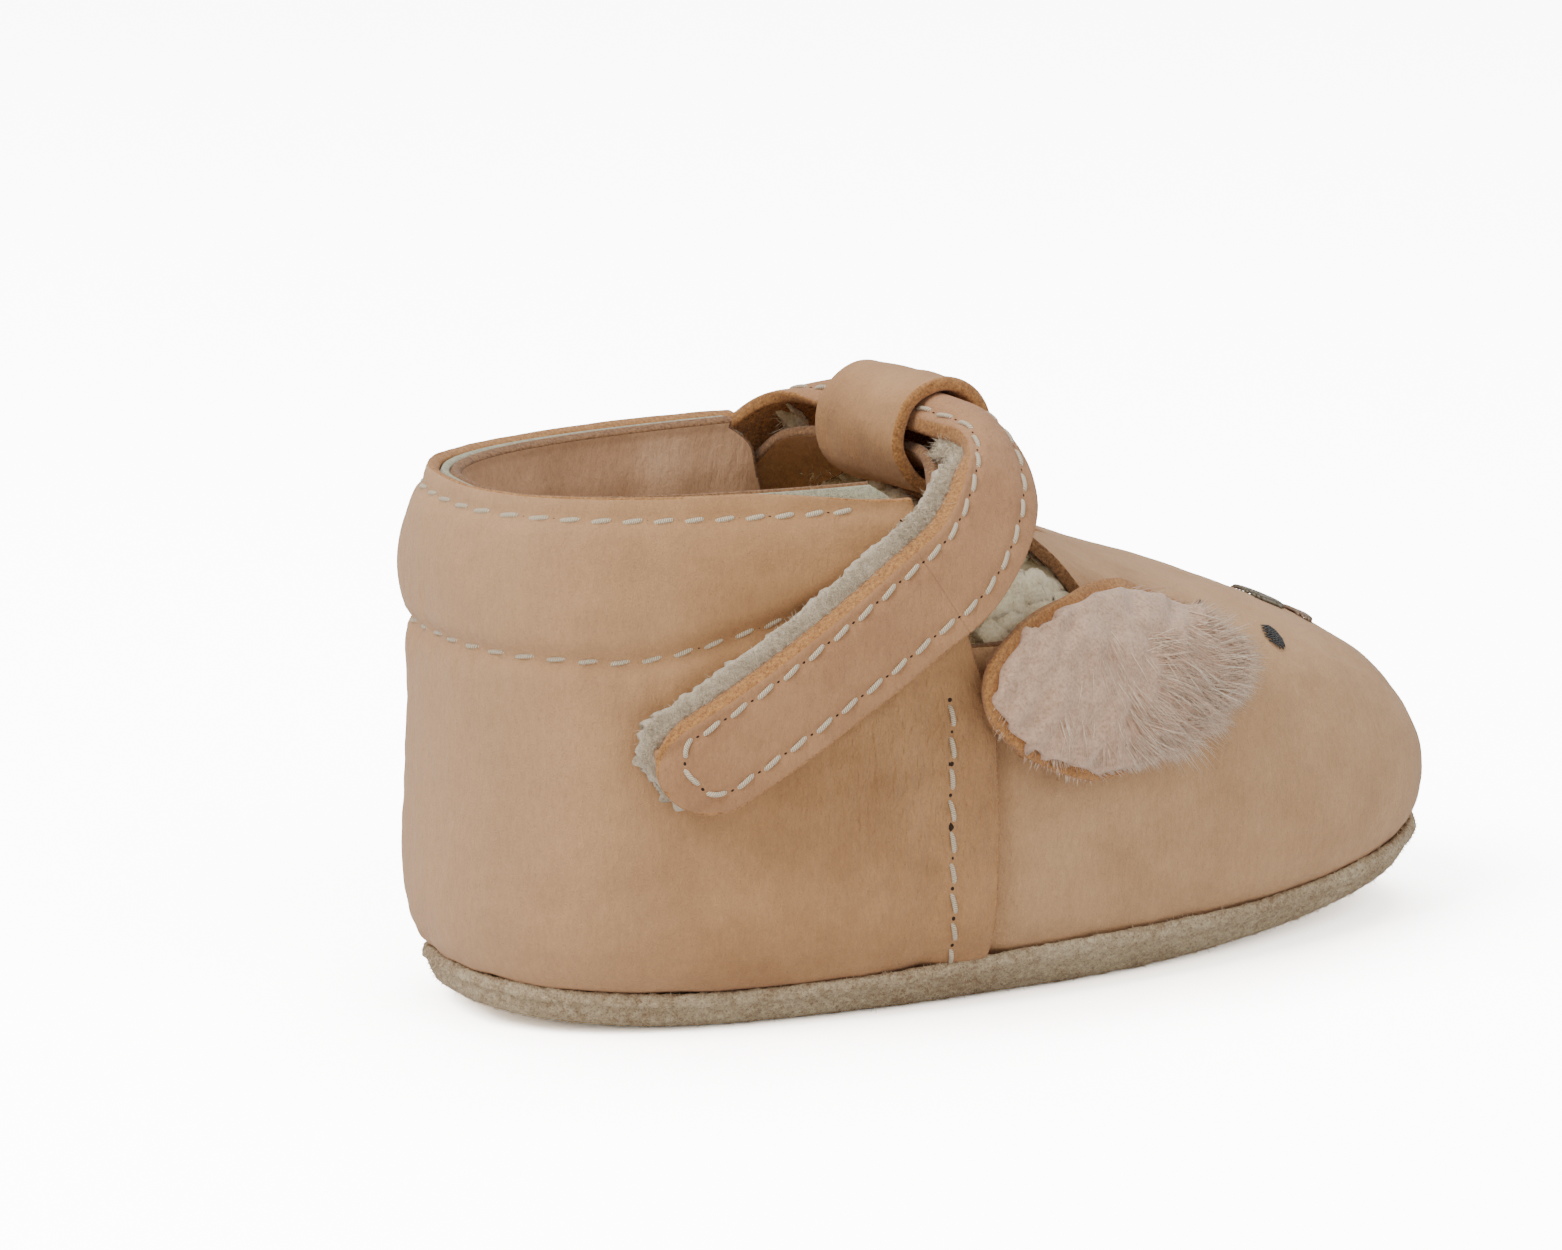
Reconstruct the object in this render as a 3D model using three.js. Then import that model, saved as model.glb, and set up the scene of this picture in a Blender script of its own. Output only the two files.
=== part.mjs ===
// Soft-soled baby bootie for the right foot: millimetres, +X to the toe, +Y medial, +Z up.
// Every shell is cut from one foot-shaped surface, last(), between two offsets from it.
import * as THREE from 'three';

// ---- driving sizes (mm) -------------------------------------------------------------
const LENGTH = 121;              // overall, heel to toe
const WIDTH = 60;                // across the sides
const HEIGHT = 62;               // floor to the topline
const CENTRE = [-0.35, -0.83];   // moves the finished part over the origin
const SQUARE = 2.63;             // superellipse power of the plan, heel and sides
const SQUARE_TOE = 1.95;         // the same over the instep, rounder
const INFLARE = 4.5;             // how far the toe swings to the medial side
const TOE_SPRING = 4.5;          // rise of the sole under the toe
const HEEL_ROCKER = 2.5;         // rise of the sole at the back of the heel
const LEAN = 0.3;                // medial topline above, lateral below, the mean
const LEATHER = 1.4;             // outer leather
const GAP = 0.3;                 // clearance between neighbouring layers
const LINING_GAP = 0.6;          // the same behind the outer leather, which is faceted
const FLEECE = 2.2;              // pile lining
const LINING = 1.1;              // lining leather
const SOLE = 2.2;                // suede sole at mid foot
const FOAM = 1.7;                // foam insole
const RIM = 3.65;                // top of the sole's turned-up rim
const EDGE_Z = 4;                // lower edge of the upper
const PAD_MIN = 0.9, PAD_MAX = 2.9;   // collar padding at its edge and middle
const COLLAR_S = 0.69;           // collar seam, as a share of the wall profile
const THREAD_R = 0.32;           // sewing thread
const SEAM_GAP = 0.25;           // degrees of plan angle left open each side of a seam
const LOOP_WALL = 1.5, LOOP_HALF = 8;   // rolled tab the straps run through
const CURL = 0.26852;            // share of the strap's width added to the radius it curls to
const LOOP_REST = 52.4;          // height of its underside, over the bar
const LOOP_DIR = [0.106, -0.993, 0.044];              // its axis, towards the lateral side
const STRAP_W = 10.8;
const STRAP_T = 1.4;
const ANKLE_T = 1.3;             // band under the strap
const TAPE_T = 1.0;              // each half of the hook and loop tape
const TAPE_STEP = 1.4;           // tape set back up the wall from the strap
const STRAP_RUN = [-0.845, -0.535];  // its direction down the wall (x, z)
const STRAP_LEN = 41;            // from there to the tip
const EAR_LENGTH = 36.4, EAR_WIDTH = 18.4, EAR_TURN = -0.12;
const EAR_T = 1.2, FUR = 3.5;    // the ear's leather and the pile on it
const EYE_LENGTH = 3.5, EYE_WIDTH = 2.1, EYE_TURN = -0.75;
const NOSE_LENGTH = 4.8, NOSE_WIDTH = 8.4;
const MOUTH_LENGTH = 2, MOUTH_WIDTH = 9.2;

// Places are drawn on a shoe of these overall sizes and follow the sizes above.
const DRAWN_LENGTH = 121, DRAWN_WIDTH = 60, DRAWN_HEIGHT = 62;
const X = (x) => x * LENGTH / DRAWN_LENGTH;
const Y = (y) => y * WIDTH / DRAWN_WIDTH;
const Z = (z) => EDGE_Z + (z - EDGE_Z) * (HEIGHT - EDGE_Z) / (DRAWN_HEIGHT - EDGE_Z);
const place = ([x, y, z]) => new THREE.Vector3(X(x), Y(y), Z(z));
const SEAM_X = X(-6.1);          // front seam between quarter and vamp, along the shoe
const STRAP_AT = [X(-7.1), Z(50)];    // strap centre where it lands on the wall (x, z)

// wall profiles from sole edge to top edge: (reach from the plan centre, height)
const along = ([x, z]) => [X(x), Z(z)];
const across = ([y, z]) => [Y(y), Z(z)];
const TOE = [[64.2, 4], [70.4, 7.5], [70.2, 32], [45.5, 37], [21.5, 43.5], [3, 53]].map(along);
const SIDE = [[19.5, 4], [29.5, 6], [25, 24], [25.5, 36], [25.5, 46], [20, 57.8]].map(across);
const HEEL = [[50, 4], [57, 6], [51.7, 24], [50.5, 34], [56, 48], [50.5, 58.3]].map(along);

// ---- the surface --------------------------------------------------------------------
const deg = Math.PI / 180;
const V = (a) => new THREE.Vector3(...a);
const CUP = CURL * STRAP_W + STRAP_T;          // radius of a strap curled inside the tab
const LOOP_R = CUP + 2 * GAP + LOOP_WALL;
const LOOP_C = [X(-3.7), Y(-1), Z(LOOP_REST) + LOOP_R];
const mix = (a, b, t) => a + (b - a) * t;
const clamp = (t, lo = 0, hi = 1) => Math.min(hi, Math.max(lo, t));
const ease = (t) => { t = clamp(t); return t * t * (3 - 2 * t); };

function bezier(points, s) {
  let p = points;
  while (p.length > 1) p = p.slice(1).map((q, i) => q.map((v, k) => mix(p[i][k], v, s)));
  return p[0];
}

// rise of the sole under the toe and the heel
const rise = (x) => TOE_SPRING * clamp((x - X(10)) / X(48), 0, 1.4) ** 2
  + HEEL_ROCKER * clamp((-x - X(32)) / X(28), 0, 1.4) ** 2;
const swing = (x) => INFLARE * ease((x + X(17)) / X(75));

// plan angle a (0 toe, 90 medial, 180 heel, degrees), wall share s (0 sole edge, 1 top edge)
function surface(a, s) {
  const c = Math.cos(a * deg), d = Math.sin(a * deg);
  const n = mix(SQUARE, SQUARE_TOE, c > 0 ? ease((s - 0.35) / 0.45) * ease(c * 2) : 0);
  const r = (Math.abs(c) ** n + Math.abs(d) ** n) ** (-1 / n);
  const [reach, zEnd] = bezier(c > 0 ? TOE : HEEL, s), [half, zSide] = bezier(SIDE, s);
  const x = SEAM_X + reach * r * c, k = Math.abs(r * c) ** n;
  const z = mix(zSide, zEnd, k) + rise(x) * (1 - s) + LEAN * r * d * s * s;
  return V([x, half * r * d + swing(x), z]);
}
function normal(a, s) {
  const h = 0.05, e = 0.002;
  const u = surface(a + h, s).sub(surface(a - h, s)), v = surface(a, s + e).sub(surface(a, s - e));
  return u.cross(v).normalize();
}
const last = (a, s, off = 0) => surface(a, s).addScaledVector(normal(a, s), off);

// plan angle and wall share of the wall point at (x, z) on one side (+1 medial, -1 lateral)
function locate(x, z, side) {
  let a = Math.atan2(WIDTH / 2, x - SEAM_X) / deg, s = 0.5;
  const da = 0.1, ds = 0.002;
  for (let i = 0; i < 25; i++) {
    const p = surface(side * a, s);
    const pa = surface(side * (a + da), s), ps = surface(side * a, s + ds);
    const m = [(pa.x - p.x) / da, (ps.x - p.x) / ds, (pa.z - p.z) / da, (ps.z - p.z) / ds];
    const det = m[0] * m[3] - m[1] * m[2];
    const dx = x - p.x, dz = z - p.z;
    a += clamp((dx * m[3] - dz * m[1]) / det, -8, 8);
    s = clamp(s + (m[0] * dz - m[2] * dx) / det, 0, 1.05);
  }
  return [side * a, s];
}
const wall = (x, z, off, side = -1) => last(...locate(x, z, side), off);

// ---- solids -------------------------------------------------------------------------
const group = new THREE.Group();
group.position.set(...CENTRE, 0);
const paint = (color, roughness = 0.85, metalness = 0) =>
  new THREE.MeshStandardMaterial({ color, roughness, metalness });
const TAN = 0xb8967a, RAW = 0xb98a5c, SUEDE = 0xb7a082, PILE = 0xd6c9ae, THREAD = 0xe0d6c4;

function add(name, geometry, material) {
  const mesh = new THREE.Mesh(geometry, material);
  mesh.name = name;
  group.add(mesh);
  return mesh;
}

// closed solid between two grids of points, front(u, v) and back(u, v); ring wraps u round
function slab(front, back, nu, nv, ring = false) {
  const pos = [], idx = [], cols = ring ? nu : nu + 1, size = cols * (nv + 1);
  for (const f of [front, back]) for (let j = 0; j <= nv; j++) for (let i = 0; i < cols; i++) {
    pos.push(...f(i / nu, j / nv).toArray());
  }
  const at = (i, j, k) => k * size + j * cols + (i % cols);
  const quad = (a, b, c, d) => idx.push(a, b, c, a, c, d);
  for (let j = 0; j < nv; j++) for (let i = 0; i < nu; i++) {
    quad(at(i, j, 0), at(i + 1, j, 0), at(i + 1, j + 1, 0), at(i, j + 1, 0));
    quad(at(i, j, 1), at(i, j + 1, 1), at(i + 1, j + 1, 1), at(i + 1, j, 1));
  }
  for (let i = 0; i < nu; i++) {
    quad(at(i + 1, 0, 0), at(i, 0, 0), at(i, 0, 1), at(i + 1, 0, 1));
    quad(at(i, nv, 0), at(i + 1, nv, 0), at(i + 1, nv, 1), at(i, nv, 1));
  }
  if (!ring) for (let j = 0; j < nv; j++) {
    quad(at(0, j, 0), at(0, j + 1, 0), at(0, j + 1, 1), at(0, j, 1));
    quad(at(nu, j + 1, 0), at(nu, j, 0), at(nu, j, 1), at(nu, j + 1, 1));
  }
  return close(pos, idx);
}

// closed solid of stacked outlines, ring(k, t); the first and last close on their centres
function stack(rings, ring, nt) {
  const pos = [], idx = [];
  for (let k = 0; k < rings; k++) for (let i = 0; i < nt; i++) pos.push(...ring(k, i / nt).toArray());
  for (const k of [0, rings - 1]) pos.push(...ring(k, 0).add(ring(k, 0.5)).multiplyScalar(0.5).toArray());
  for (let k = 0; k < rings - 1; k++) for (let i = 0; i < nt; i++) {
    const j = (i + 1) % nt, a = k * nt, b = a + nt;
    idx.push(a + i, a + j, b + j, a + i, b + j, b + i);
  }
  for (let i = 0; i < nt; i++) {
    const j = (i + 1) % nt, a = (rings - 1) * nt;
    idx.push(rings * nt, j, i, rings * nt + 1, a + i, a + j);
  }
  return close(pos, idx);
}

function close(pos, idx) {
  const p = (i) => new THREE.Vector3().fromArray(pos, 3 * i);
  let volume = 0;
  for (let i = 0; i < idx.length; i += 3) volume += p(idx[i]).dot(p(idx[i + 1]).cross(p(idx[i + 2])));
  if (volume < 0) for (let i = 0; i < idx.length; i += 3) [idx[i], idx[i + 1]] = [idx[i + 1], idx[i]];
  const g = new THREE.BufferGeometry();
  g.setAttribute('position', new THREE.Float32BufferAttribute(pos, 3));
  g.setIndex(idx);
  return g;
}

// shell of the last: u runs from a0 to a1 (may depend on s), v from s0 to s1 (may depend on a)
function shell({ a0, a1, s0, s1, outer, inner, nu, nv }) {
  const at = (off) => (u, v) => {
    const mid = mix(a0(0.5), a1(0.5), u), s = mix(s0(mid), s1(mid), v);
    return last(mix(a0(s), a1(s), u), s, off(s));
  };
  return slab(at(outer), at(inner), nu, nv);
}
const flat = (v) => () => v;

// padded disc on the wall: half sizes (mm), turned in the wall, between two offsets
function patch(spec, side, low, high, n, grow = 0) {
  const cs = Math.cos(spec.turn), sn = Math.sin(spec.turn);
  const at = (off) => (u, v) => {
    const x = (u * 2 - 1), y = (v * 2 - 1);
    const p = x * Math.sqrt(1 - y * y / 2) * (spec.half[0] + grow);
    const q = y * Math.sqrt(1 - x * x / 2) * (spec.half[1] + grow);
    return wall(spec.at[0] + p * cs - q * sn, spec.at[1] + p * sn + q * cs, off(p, q), side);
  };
  return slab(at(high), at(low), n, n);
}

// ---- sole and insole ----------------------------------------------------------------
// outline of the upper's lower edge, moved out by `grow` or drawn in to a share `k` of itself
function outline(t, grow, z, k = 1) {
  const p = surface(360 * t, 0), q = surface(360 * t + 0.5, 0);
  const side = new THREE.Vector3(q.y - p.y, p.x - q.x, 0).normalize();
  const x = mix(0, p.x + side.x * grow, k), y = mix(swing(x) * k, p.y + side.y * grow, k);
  return V([x, y, z + rise(x)]);
}
const plate = (rings, nt) => stack(rings.length, (k, t) => outline(t, ...rings[k]), nt);
const underside = [[-4, 0, 0.12], [-4, 0, 0.4], [-4, 0, 0.7], [-3.4, 0], [-1, 0.7]];
const soleEdge = [[0.5, 2.2], [0.4, RIM - 0.3], [-0.1, RIM], [-1, RIM]];
const bed = [[-1.4, SOLE], [-4, SOLE, 0.5]];
add('outsole', plate([...underside, ...soleEdge, ...bed], 48), paint(SUEDE, 0.97));
const footbed = SOLE + GAP, foamTop = footbed + FOAM, pileBed = foamTop + GAP;
add('insole_foam', plate([[-3.2, footbed, 0.5], [-3.2, footbed], [-2.4, footbed + 0.8],
  [-2.8, foamTop], [-3.2, foamTop, 0.5]], 32), paint(0xd9d2c0, 0.95));
add('insole_fleece', plate([[-3, pileBed, 0.5], [-3, pileBed], [-2.2, pileBed + 1],
  [-3, pileBed + FLEECE], [-3.4, pileBed + FLEECE, 0.5]], 32), paint(PILE, 1));

// ---- upper --------------------------------------------------------------------------
// front edge of the quarter: up the seam, then back along the strap to the top corner
const frontEdge = (s) => 90 + SEAM_GAP + 9 * ease((s - 0.6) / 0.4);
const pad = (s) => mix(PAD_MIN, PAD_MAX, Math.sin(Math.PI * clamp((s - 0.66) / 0.34)) ** 0.8);
const heelward = (back) => ({ a0: (s) => frontEdge(s) + back, a1: (s) => 360 - frontEdge(s) - back });

add('quarter', shell({ ...heelward(0), s0: flat(0), s1: flat(1), outer: flat(0),
  inner: flat(-LEATHER), nu: 36, nv: 8 }), paint(TAN, 0.75));
add('collar_foam', shell({ ...heelward(1.5), s0: flat(COLLAR_S), s1: flat(0.985),
  outer: flat(-LEATHER - LINING_GAP), inner: (s) => -LEATHER - LINING_GAP - pad(s), nu: 24, nv: 4 }),
paint(0xcfcbb2, 0.95));
add('collar_lining', shell({ ...heelward(1.5), s0: flat(0.64), s1: flat(0.995),
  outer: (s) => -LEATHER - LINING_GAP - GAP - pad(s),
  inner: (s) => -LEATHER - LINING_GAP - GAP - pad(s) - LINING,
  nu: 24, nv: 4 }), paint(0xc09a78, 0.7));
add('quarter_fleece', shell({ ...heelward(1), s0: flat(0.1), s1: flat(0.6),
  outer: flat(-LEATHER - LINING_GAP),
  inner: flat(-LEATHER - LINING_GAP - FLEECE),
  nu: 24, nv: 3 }), paint(PILE, 1));

// vamp: low at the sides, rising at the middle into the bar that carries the loop
const NECK = 24, NECK_EDGE = 46;      // degrees of plan angle: half the bar, and its flare
const THROAT_S = 0.69;
const throat = (a) => mix(0.975, THROAT_S, ease((Math.abs(a) - NECK) / NECK_EDGE));
const FRONT = 90 - SEAM_GAP;
add('vamp', shell({ a0: flat(-FRONT), a1: flat(FRONT), s0: flat(0), s1: throat,
  outer: flat(0), inner: flat(-LEATHER), nu: 40, nv: 10 }), paint(TAN, 0.75));
add('vamp_fleece', shell({ a0: flat(1.5 - FRONT), a1: flat(FRONT - 1.5), s0: flat(0.1),
  s1: (a) => throat(a) - 0.05 + 0.2 * ease((a - 62) / 12),
  outer: flat(-LEATHER - LINING_GAP),
  inner: flat(-LEATHER - LINING_GAP - FLEECE),
  nu: 26, nv: 5 }), paint(PILE, 1));

// ---- loop and straps ----------------------------------------------------------------
const axis = V(LOOP_DIR).normalize(), up = V([0, 0, 1]);
const fore = up.clone().cross(axis).normalize();   // across the loop, to the toe
const lift = axis.clone().cross(fore).normalize();
const roundLoop = (r, along, turn) => V(LOOP_C).addScaledVector(axis, along)
  .addScaledVector(fore, r * Math.sin(turn)).addScaledVector(lift, r * Math.cos(turn));
const tube = (r) => (u, v) => roundLoop(r, mix(-LOOP_HALF, LOOP_HALF, v), 2 * Math.PI * u);
add('strap_loop', slab(tube(LOOP_R), tube(LOOP_R - LOOP_WALL), 28, 4, true), paint(TAN, 0.75));

// a section out of the loop: steps from the curled band inside it, above (1) or below (-1)
const beside = (way, rails) => rails.map((p) =>
  V(LOOP_C).add(V([X(p[0]), Y(p[1]), way * CUP + p[2]])));
// a band is three rails of points (front edge, middle, rear edge), splined along its length
function cupped(along, below) {
  const half = STRAP_W / 2 / CUP, s = below ? Math.PI : 0, way = below ? -1 : 1;
  return [half, 0, -half].map((t) => roundLoop(CUP, along, s + way * t));
}
function band(stations) {
  const rails = [0, 1, 2].map((k) => new THREE.CatmullRomCurve3(stations.map((p) => p[k])));
  return (t, v, off = 0) => {
    const at = (tt, vv) => {
      const [a, b, c] = rails.map((r) => r.getPoint(clamp(tt)));
      return a.multiplyScalar(vv * (vv + 1) / 2).addScaledVector(b, 1 - vv * vv)
        .addScaledVector(c, vv * (vv - 1) / 2);
    };
    const p = at(t, v), e = 0.004, t0 = clamp(t, e, 1 - e);
    const along = at(t0 + e, v).sub(at(t0 - e, v));
    const across = at(t, v + 0.02).sub(at(t, v - 0.02));
    return p.addScaledVector(along.cross(across).normalize(), off);
  };
}
const run = V([STRAP_RUN[0], 0, STRAP_RUN[1]]).normalize();
// point of the wall at `d` along the strap line and `q` across it, towards the front
const runPlace = (d, q) => [STRAP_AT[0] + run.x * d - run.z * q, STRAP_AT[1] + run.z * d + run.x * q];
const onRun = (d, q, off) => wall(...runPlace(d, q), off);
const wallSection = (d, off) => [1, 0, -1].map((v) => onRun(d, v * STRAP_W / 2, off));
const OUTER = GAP * 3 + TAPE_T * 2 + STRAP_T;       // strap face above the quarter
const MOUTH = LOOP_HALF + 1;
const strapStations = [
  [[-7.4, 20.2, 49.8], [-10.2, 20.4, 54.2], [-12.2, 19.8, 58.8]].map(place),
  beside(1, [[0.1, 16.6, -8.5], [-4.5, 17, -4.5], [-8.9, 16.8, -1.9]]),
  ...[-MOUTH, 0, MOUTH].map((d) => cupped(d, false)),
  beside(1, [[6.2, -13.5, -3.7], [2.8, -14.6, -1.3], [-1.6, -15.4, -2.5]]),
  [[1.7, -22.4, 53.8], [-2.7, -21.9, 57.2], [-6.9, -21.2, 59.6]].map(place),
  ...[2, 10, 18, 26, 34, STRAP_LEN].map((d) => wallSection(d, OUTER)),
];
const strap = band(strapStations);
const LIFT_T = 0.446, CURL_T = 0.78;  // shares of the strap where its joints bend it
const JOINT = 0.00215 * STRAP_T;      // half the slit at a joint, wider in a thicker strap
const tipShape = (t) => Math.sqrt(Math.max(0.02, 1 - clamp((t - 0.93) / 0.07) ** 2.2));
const strapPart = (t0, t1, nt) => {
  const at = (off) => (u, v) => {
    const t = mix(t0, t1, u);
    return strap(t, (v * 2 - 1) * tipShape(t), off);
  };
  return slab(at(0), at(-STRAP_T), nt, 3);
};
add('strap_root', strapPart(0, LIFT_T - JOINT, 16), paint(TAN, 0.75));
add('strap_flap', strapPart(LIFT_T + JOINT, CURL_T - JOINT, 12), paint(TAN, 0.75));
add('strap_tip', strapPart(CURL_T + JOINT, 1, 9), paint(TAN, 0.75));

// the shorter band's ends lie under the strap, lower by its thickness
const under = (rails) => rails.map((p) => place(p).add(V([0, 0, -STRAP_T])));
const ankle = band([
  under([[-5.6, -21.6, 47.8], [-8.2, -21.4, 51.4], [-10.8, -20.4, 55]]),
  beside(-1, [[2.3, -15.8, -5.1], [-1.5, -15.8, -2.9], [-5.1, -15.4, 0.7]]),
  ...[MOUTH, 0, -MOUTH].map((d) => cupped(d, true)),
  beside(-1, [[0.9, 15.2, -6.1], [-2.9, 15.6, -3.1], [-6.9, 15.6, 0.5]]),
  under([[-4.4, 18.8, 45.8], [-7.4, 18.2, 49.4], [-10.2, 17, 53]]),
]);
const ankleFace = (off) => (u, v) => ankle(u, v * 2 - 1, off);
add('ankle_band', slab(ankleFace(0), ankleFace(-ANKLE_T), 24, 3), paint(TAN, 0.75));

const tape = (d0, d1, nu, low, high) => {
  const at = (off) => (u, v) => {
    const d = mix(d0, d1, u), round = Math.sqrt(Math.max(0.02, 1 - clamp((d - 36) / 6) ** 2.2));
    return onRun(d, (v * 2 - 1) * (STRAP_W / 2 - 1) * round - TAPE_STEP, off);
  };
  return slab(at(high), at(low), nu, 3);
};
add('loop_tape', tape(7, 41.5, 14, GAP, GAP + TAPE_T), paint(0xc4bda6, 1));
add('hook_flap', tape(4.5, 21, 8, 2 * GAP + TAPE_T, 2 * GAP + 2 * TAPE_T), paint(0xc9c3ae, 1));
add('hook_tip', tape(23, 42, 10, 2 * GAP + TAPE_T, 2 * GAP + 2 * TAPE_T), paint(0xc9c3ae, 1));

// ---- ears and face ------------------------------------------------------------------
const EAR = { at: [X(11.2), Z(33.8)], half: [EAR_LENGTH / 2, EAR_WIDTH / 2], turn: EAR_TURN };
const EYE = { at: [X(35.6), Z(34.4)], half: [EYE_LENGTH / 2, EYE_WIDTH / 2], turn: EYE_TURN };
const toRim = (spec, p, q) => Math.hypot(p / spec.half[0], q / spec.half[1]);
// an ear stands off the wall towards its free lower rear edge
const stand = (p, q) => 0.4 + 2.2 * ease((6 - p * 0.6 - q) / 22);
const furFoot = (p, q) => stand(p, q) + EAR_T + GAP;
const furTop = (p, q) => furFoot(p, q) + FUR - 2.4 * toRim(EAR, p, q) ** 3;
const eyeTop = (p, q) => GAP + 0.8 - 0.4 * toRim(EYE, p, q) ** 2;
for (const [side, word] of [[-1, 'right'], [1, 'left']]) {
  add(`ear_${word}`, patch(EAR, side, stand, (p, q) => stand(p, q) + EAR_T, 8), paint(RAW, 0.9));
  add(`ear_${word}_fur`, patch(EAR, side, furFoot, furTop, 8, -0.6), paint(0xcdb29c, 1));
  add(`eye_${word}`, patch(EYE, side, flat(GAP), eyeTop, 5), paint(0x1c1a19, 0.6));
}
// nose and mouth lie across the ridge of the toe
const onToe = (x, y, off) => {
  let s = 0.55, a = 0;
  for (let i = 0; i < 25; i++) {
    const p = surface(a, s);
    s = clamp(s + (p.x - x) * 0.006, 0, 1);
    a += (y - (p.y - swing(p.x))) * 0.8;
  }
  return last(a, s, off);
};
const disc = (cx, cy, hx, hy, low, high, n, bend = 0) => {
  const at = (off) => (u, v) => {
    const x = u * 2 - 1, y = v * 2 - 1;
    const p = x * Math.sqrt(1 - y * y / 2), q = y * Math.sqrt(1 - x * x / 2);
    return onToe(cx + p * hx + bend * (cy + q * hy) ** 2, cy + q * hy, off(p, q));
  };
  return slab(at(high), at(low), n, n);
};
const noseTop = (p, q) => 1.5 - 0.7 * (p * p + q * q);
add('nose', disc(X(42.5), 0, NOSE_LENGTH / 2, NOSE_WIDTH / 2, flat(GAP), noseTop, 6),
  paint(0x6b5a42, 0.7));
add('mouth', disc(X(47.6), 0, MOUTH_LENGTH / 2, MOUTH_WIDTH / 2, flat(GAP), flat(1), 6, -0.06),
  paint(0x8a6a4d, 0.7));

// ---- stitching, each run one fine cord ------------------------------------------------
function thread(name, points, steps) {
  const cord = new THREE.Shape([0, 1, 2, 3].map((i) => new THREE.Vector2(
    THREAD_R * Math.cos(i * 90 * deg), THREAD_R * Math.sin(i * 90 * deg))));
  const path = new THREE.CatmullRomCurve3(points);
  const g = new THREE.ExtrudeGeometry(cord, { steps, extrudePath: path, bevelEnabled: false });
  add(name, g, paint(THREAD, 0.8));
}
// the collar's stitches end beside the strap's tape, this far down the strap's line
const COLLAR_STOP = 20.64;
const besideTape = runPlace(COLLAR_STOP, -(STRAP_W / 2 + TAPE_STEP + 0.02));
const collarEnd = 360 + locate(...besideTape, -1)[0];
const sweep = (n, f) => Array.from({ length: n + 1 }, (_, i) => f(i / n));
const STITCH = GAP + THREAD_R + 0.1;
thread('thread_topline', sweep(28, (t) => last(mix(101, 259, t), 0.955, STITCH)), 30);
thread('thread_collar', sweep(28, (t) => last(mix(99, collarEnd, t), COLLAR_S + 0.012
  + 0.1 * ease((t - 0.86) / 0.22), STITCH)), 30);
for (const [side, word] of [[-1, 'right'], [1, 'left']]) {
  thread(`thread_seam_${word}`, sweep(8, (t) =>
    last(side * (92.8 + 1.2 * t * t), mix(0.1, 0.62, t), STITCH)), 10);
}
const inset = 0.56;
for (const [v, word] of [[-inset, 'upper'], [inset, 'lower']]) {
  const row = (t) => strap(mix(LIFT_T + 0.02, CURL_T - 0.015, t), v, STITCH);
  thread(`thread_flap_${word}`, sweep(10, row), 12);
}
thread('thread_tip', sweep(24, (t) => {
  const w = Math.cos(Math.PI * clamp((t - 0.35) / 0.3));
  const out = Math.min(1, t / 0.35, (1 - t) / 0.35);
  const bow = 0.16 * Math.sin(Math.PI * clamp((t - 0.35) / 0.3));
  return strap(mix(CURL_T + 0.015, 0.95, out + bow), -inset * w, STITCH);
}), 26);

export default group;
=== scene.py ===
# %% [markdown]
# # A soft baby bootie
# A right-foot bootie with a padded collar, a strap that closes through a rolled tab, and fur
# ears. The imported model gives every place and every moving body. Here each plain solid gets a
# finished piece that stands for it: leather with real edges, single stitches, pile and hair.

import bpy
import numpy as np
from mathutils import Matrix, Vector


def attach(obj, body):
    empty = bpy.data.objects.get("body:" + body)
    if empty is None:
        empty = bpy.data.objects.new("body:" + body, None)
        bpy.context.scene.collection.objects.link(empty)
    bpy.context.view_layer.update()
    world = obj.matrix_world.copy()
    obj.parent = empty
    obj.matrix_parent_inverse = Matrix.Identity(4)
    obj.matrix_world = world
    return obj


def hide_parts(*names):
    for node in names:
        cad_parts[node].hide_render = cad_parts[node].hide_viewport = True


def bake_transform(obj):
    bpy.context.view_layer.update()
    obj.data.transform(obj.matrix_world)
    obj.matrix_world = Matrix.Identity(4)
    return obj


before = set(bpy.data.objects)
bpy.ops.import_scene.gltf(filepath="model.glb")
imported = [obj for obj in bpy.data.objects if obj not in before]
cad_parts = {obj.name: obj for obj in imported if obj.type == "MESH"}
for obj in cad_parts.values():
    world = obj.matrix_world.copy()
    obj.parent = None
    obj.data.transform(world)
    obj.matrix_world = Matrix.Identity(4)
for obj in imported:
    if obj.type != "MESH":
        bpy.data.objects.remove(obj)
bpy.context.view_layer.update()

# %% [markdown]
# ## Camera and studio
# The camera stands to the outer side of the shoe, a little above it, and far away with a long
# lens, so that the lines stay nearly parallel. A wide white floor and large soft lamps give
# even light. The floor looks brighter to the camera than it is to the shoe, so it goes white
# while the shoe still leaves its soft shadow on it.

# %% Camera, floor and lamps
MM = 0.001
TARGET = Vector((-18.11, -0.83, 38.27)) * MM
DISTANCE = 0.85
AZIMUTH, ELEVATION = np.radians(-25.4), np.radians(13.1)


def away(azimuth, elevation):
    """Unit vector from the target: azimuth 0 points to -Y, elevation is above the floor."""
    flat = np.cos(elevation)
    return Vector((np.sin(azimuth) * flat, -np.cos(azimuth) * flat, np.sin(elevation)))


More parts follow.
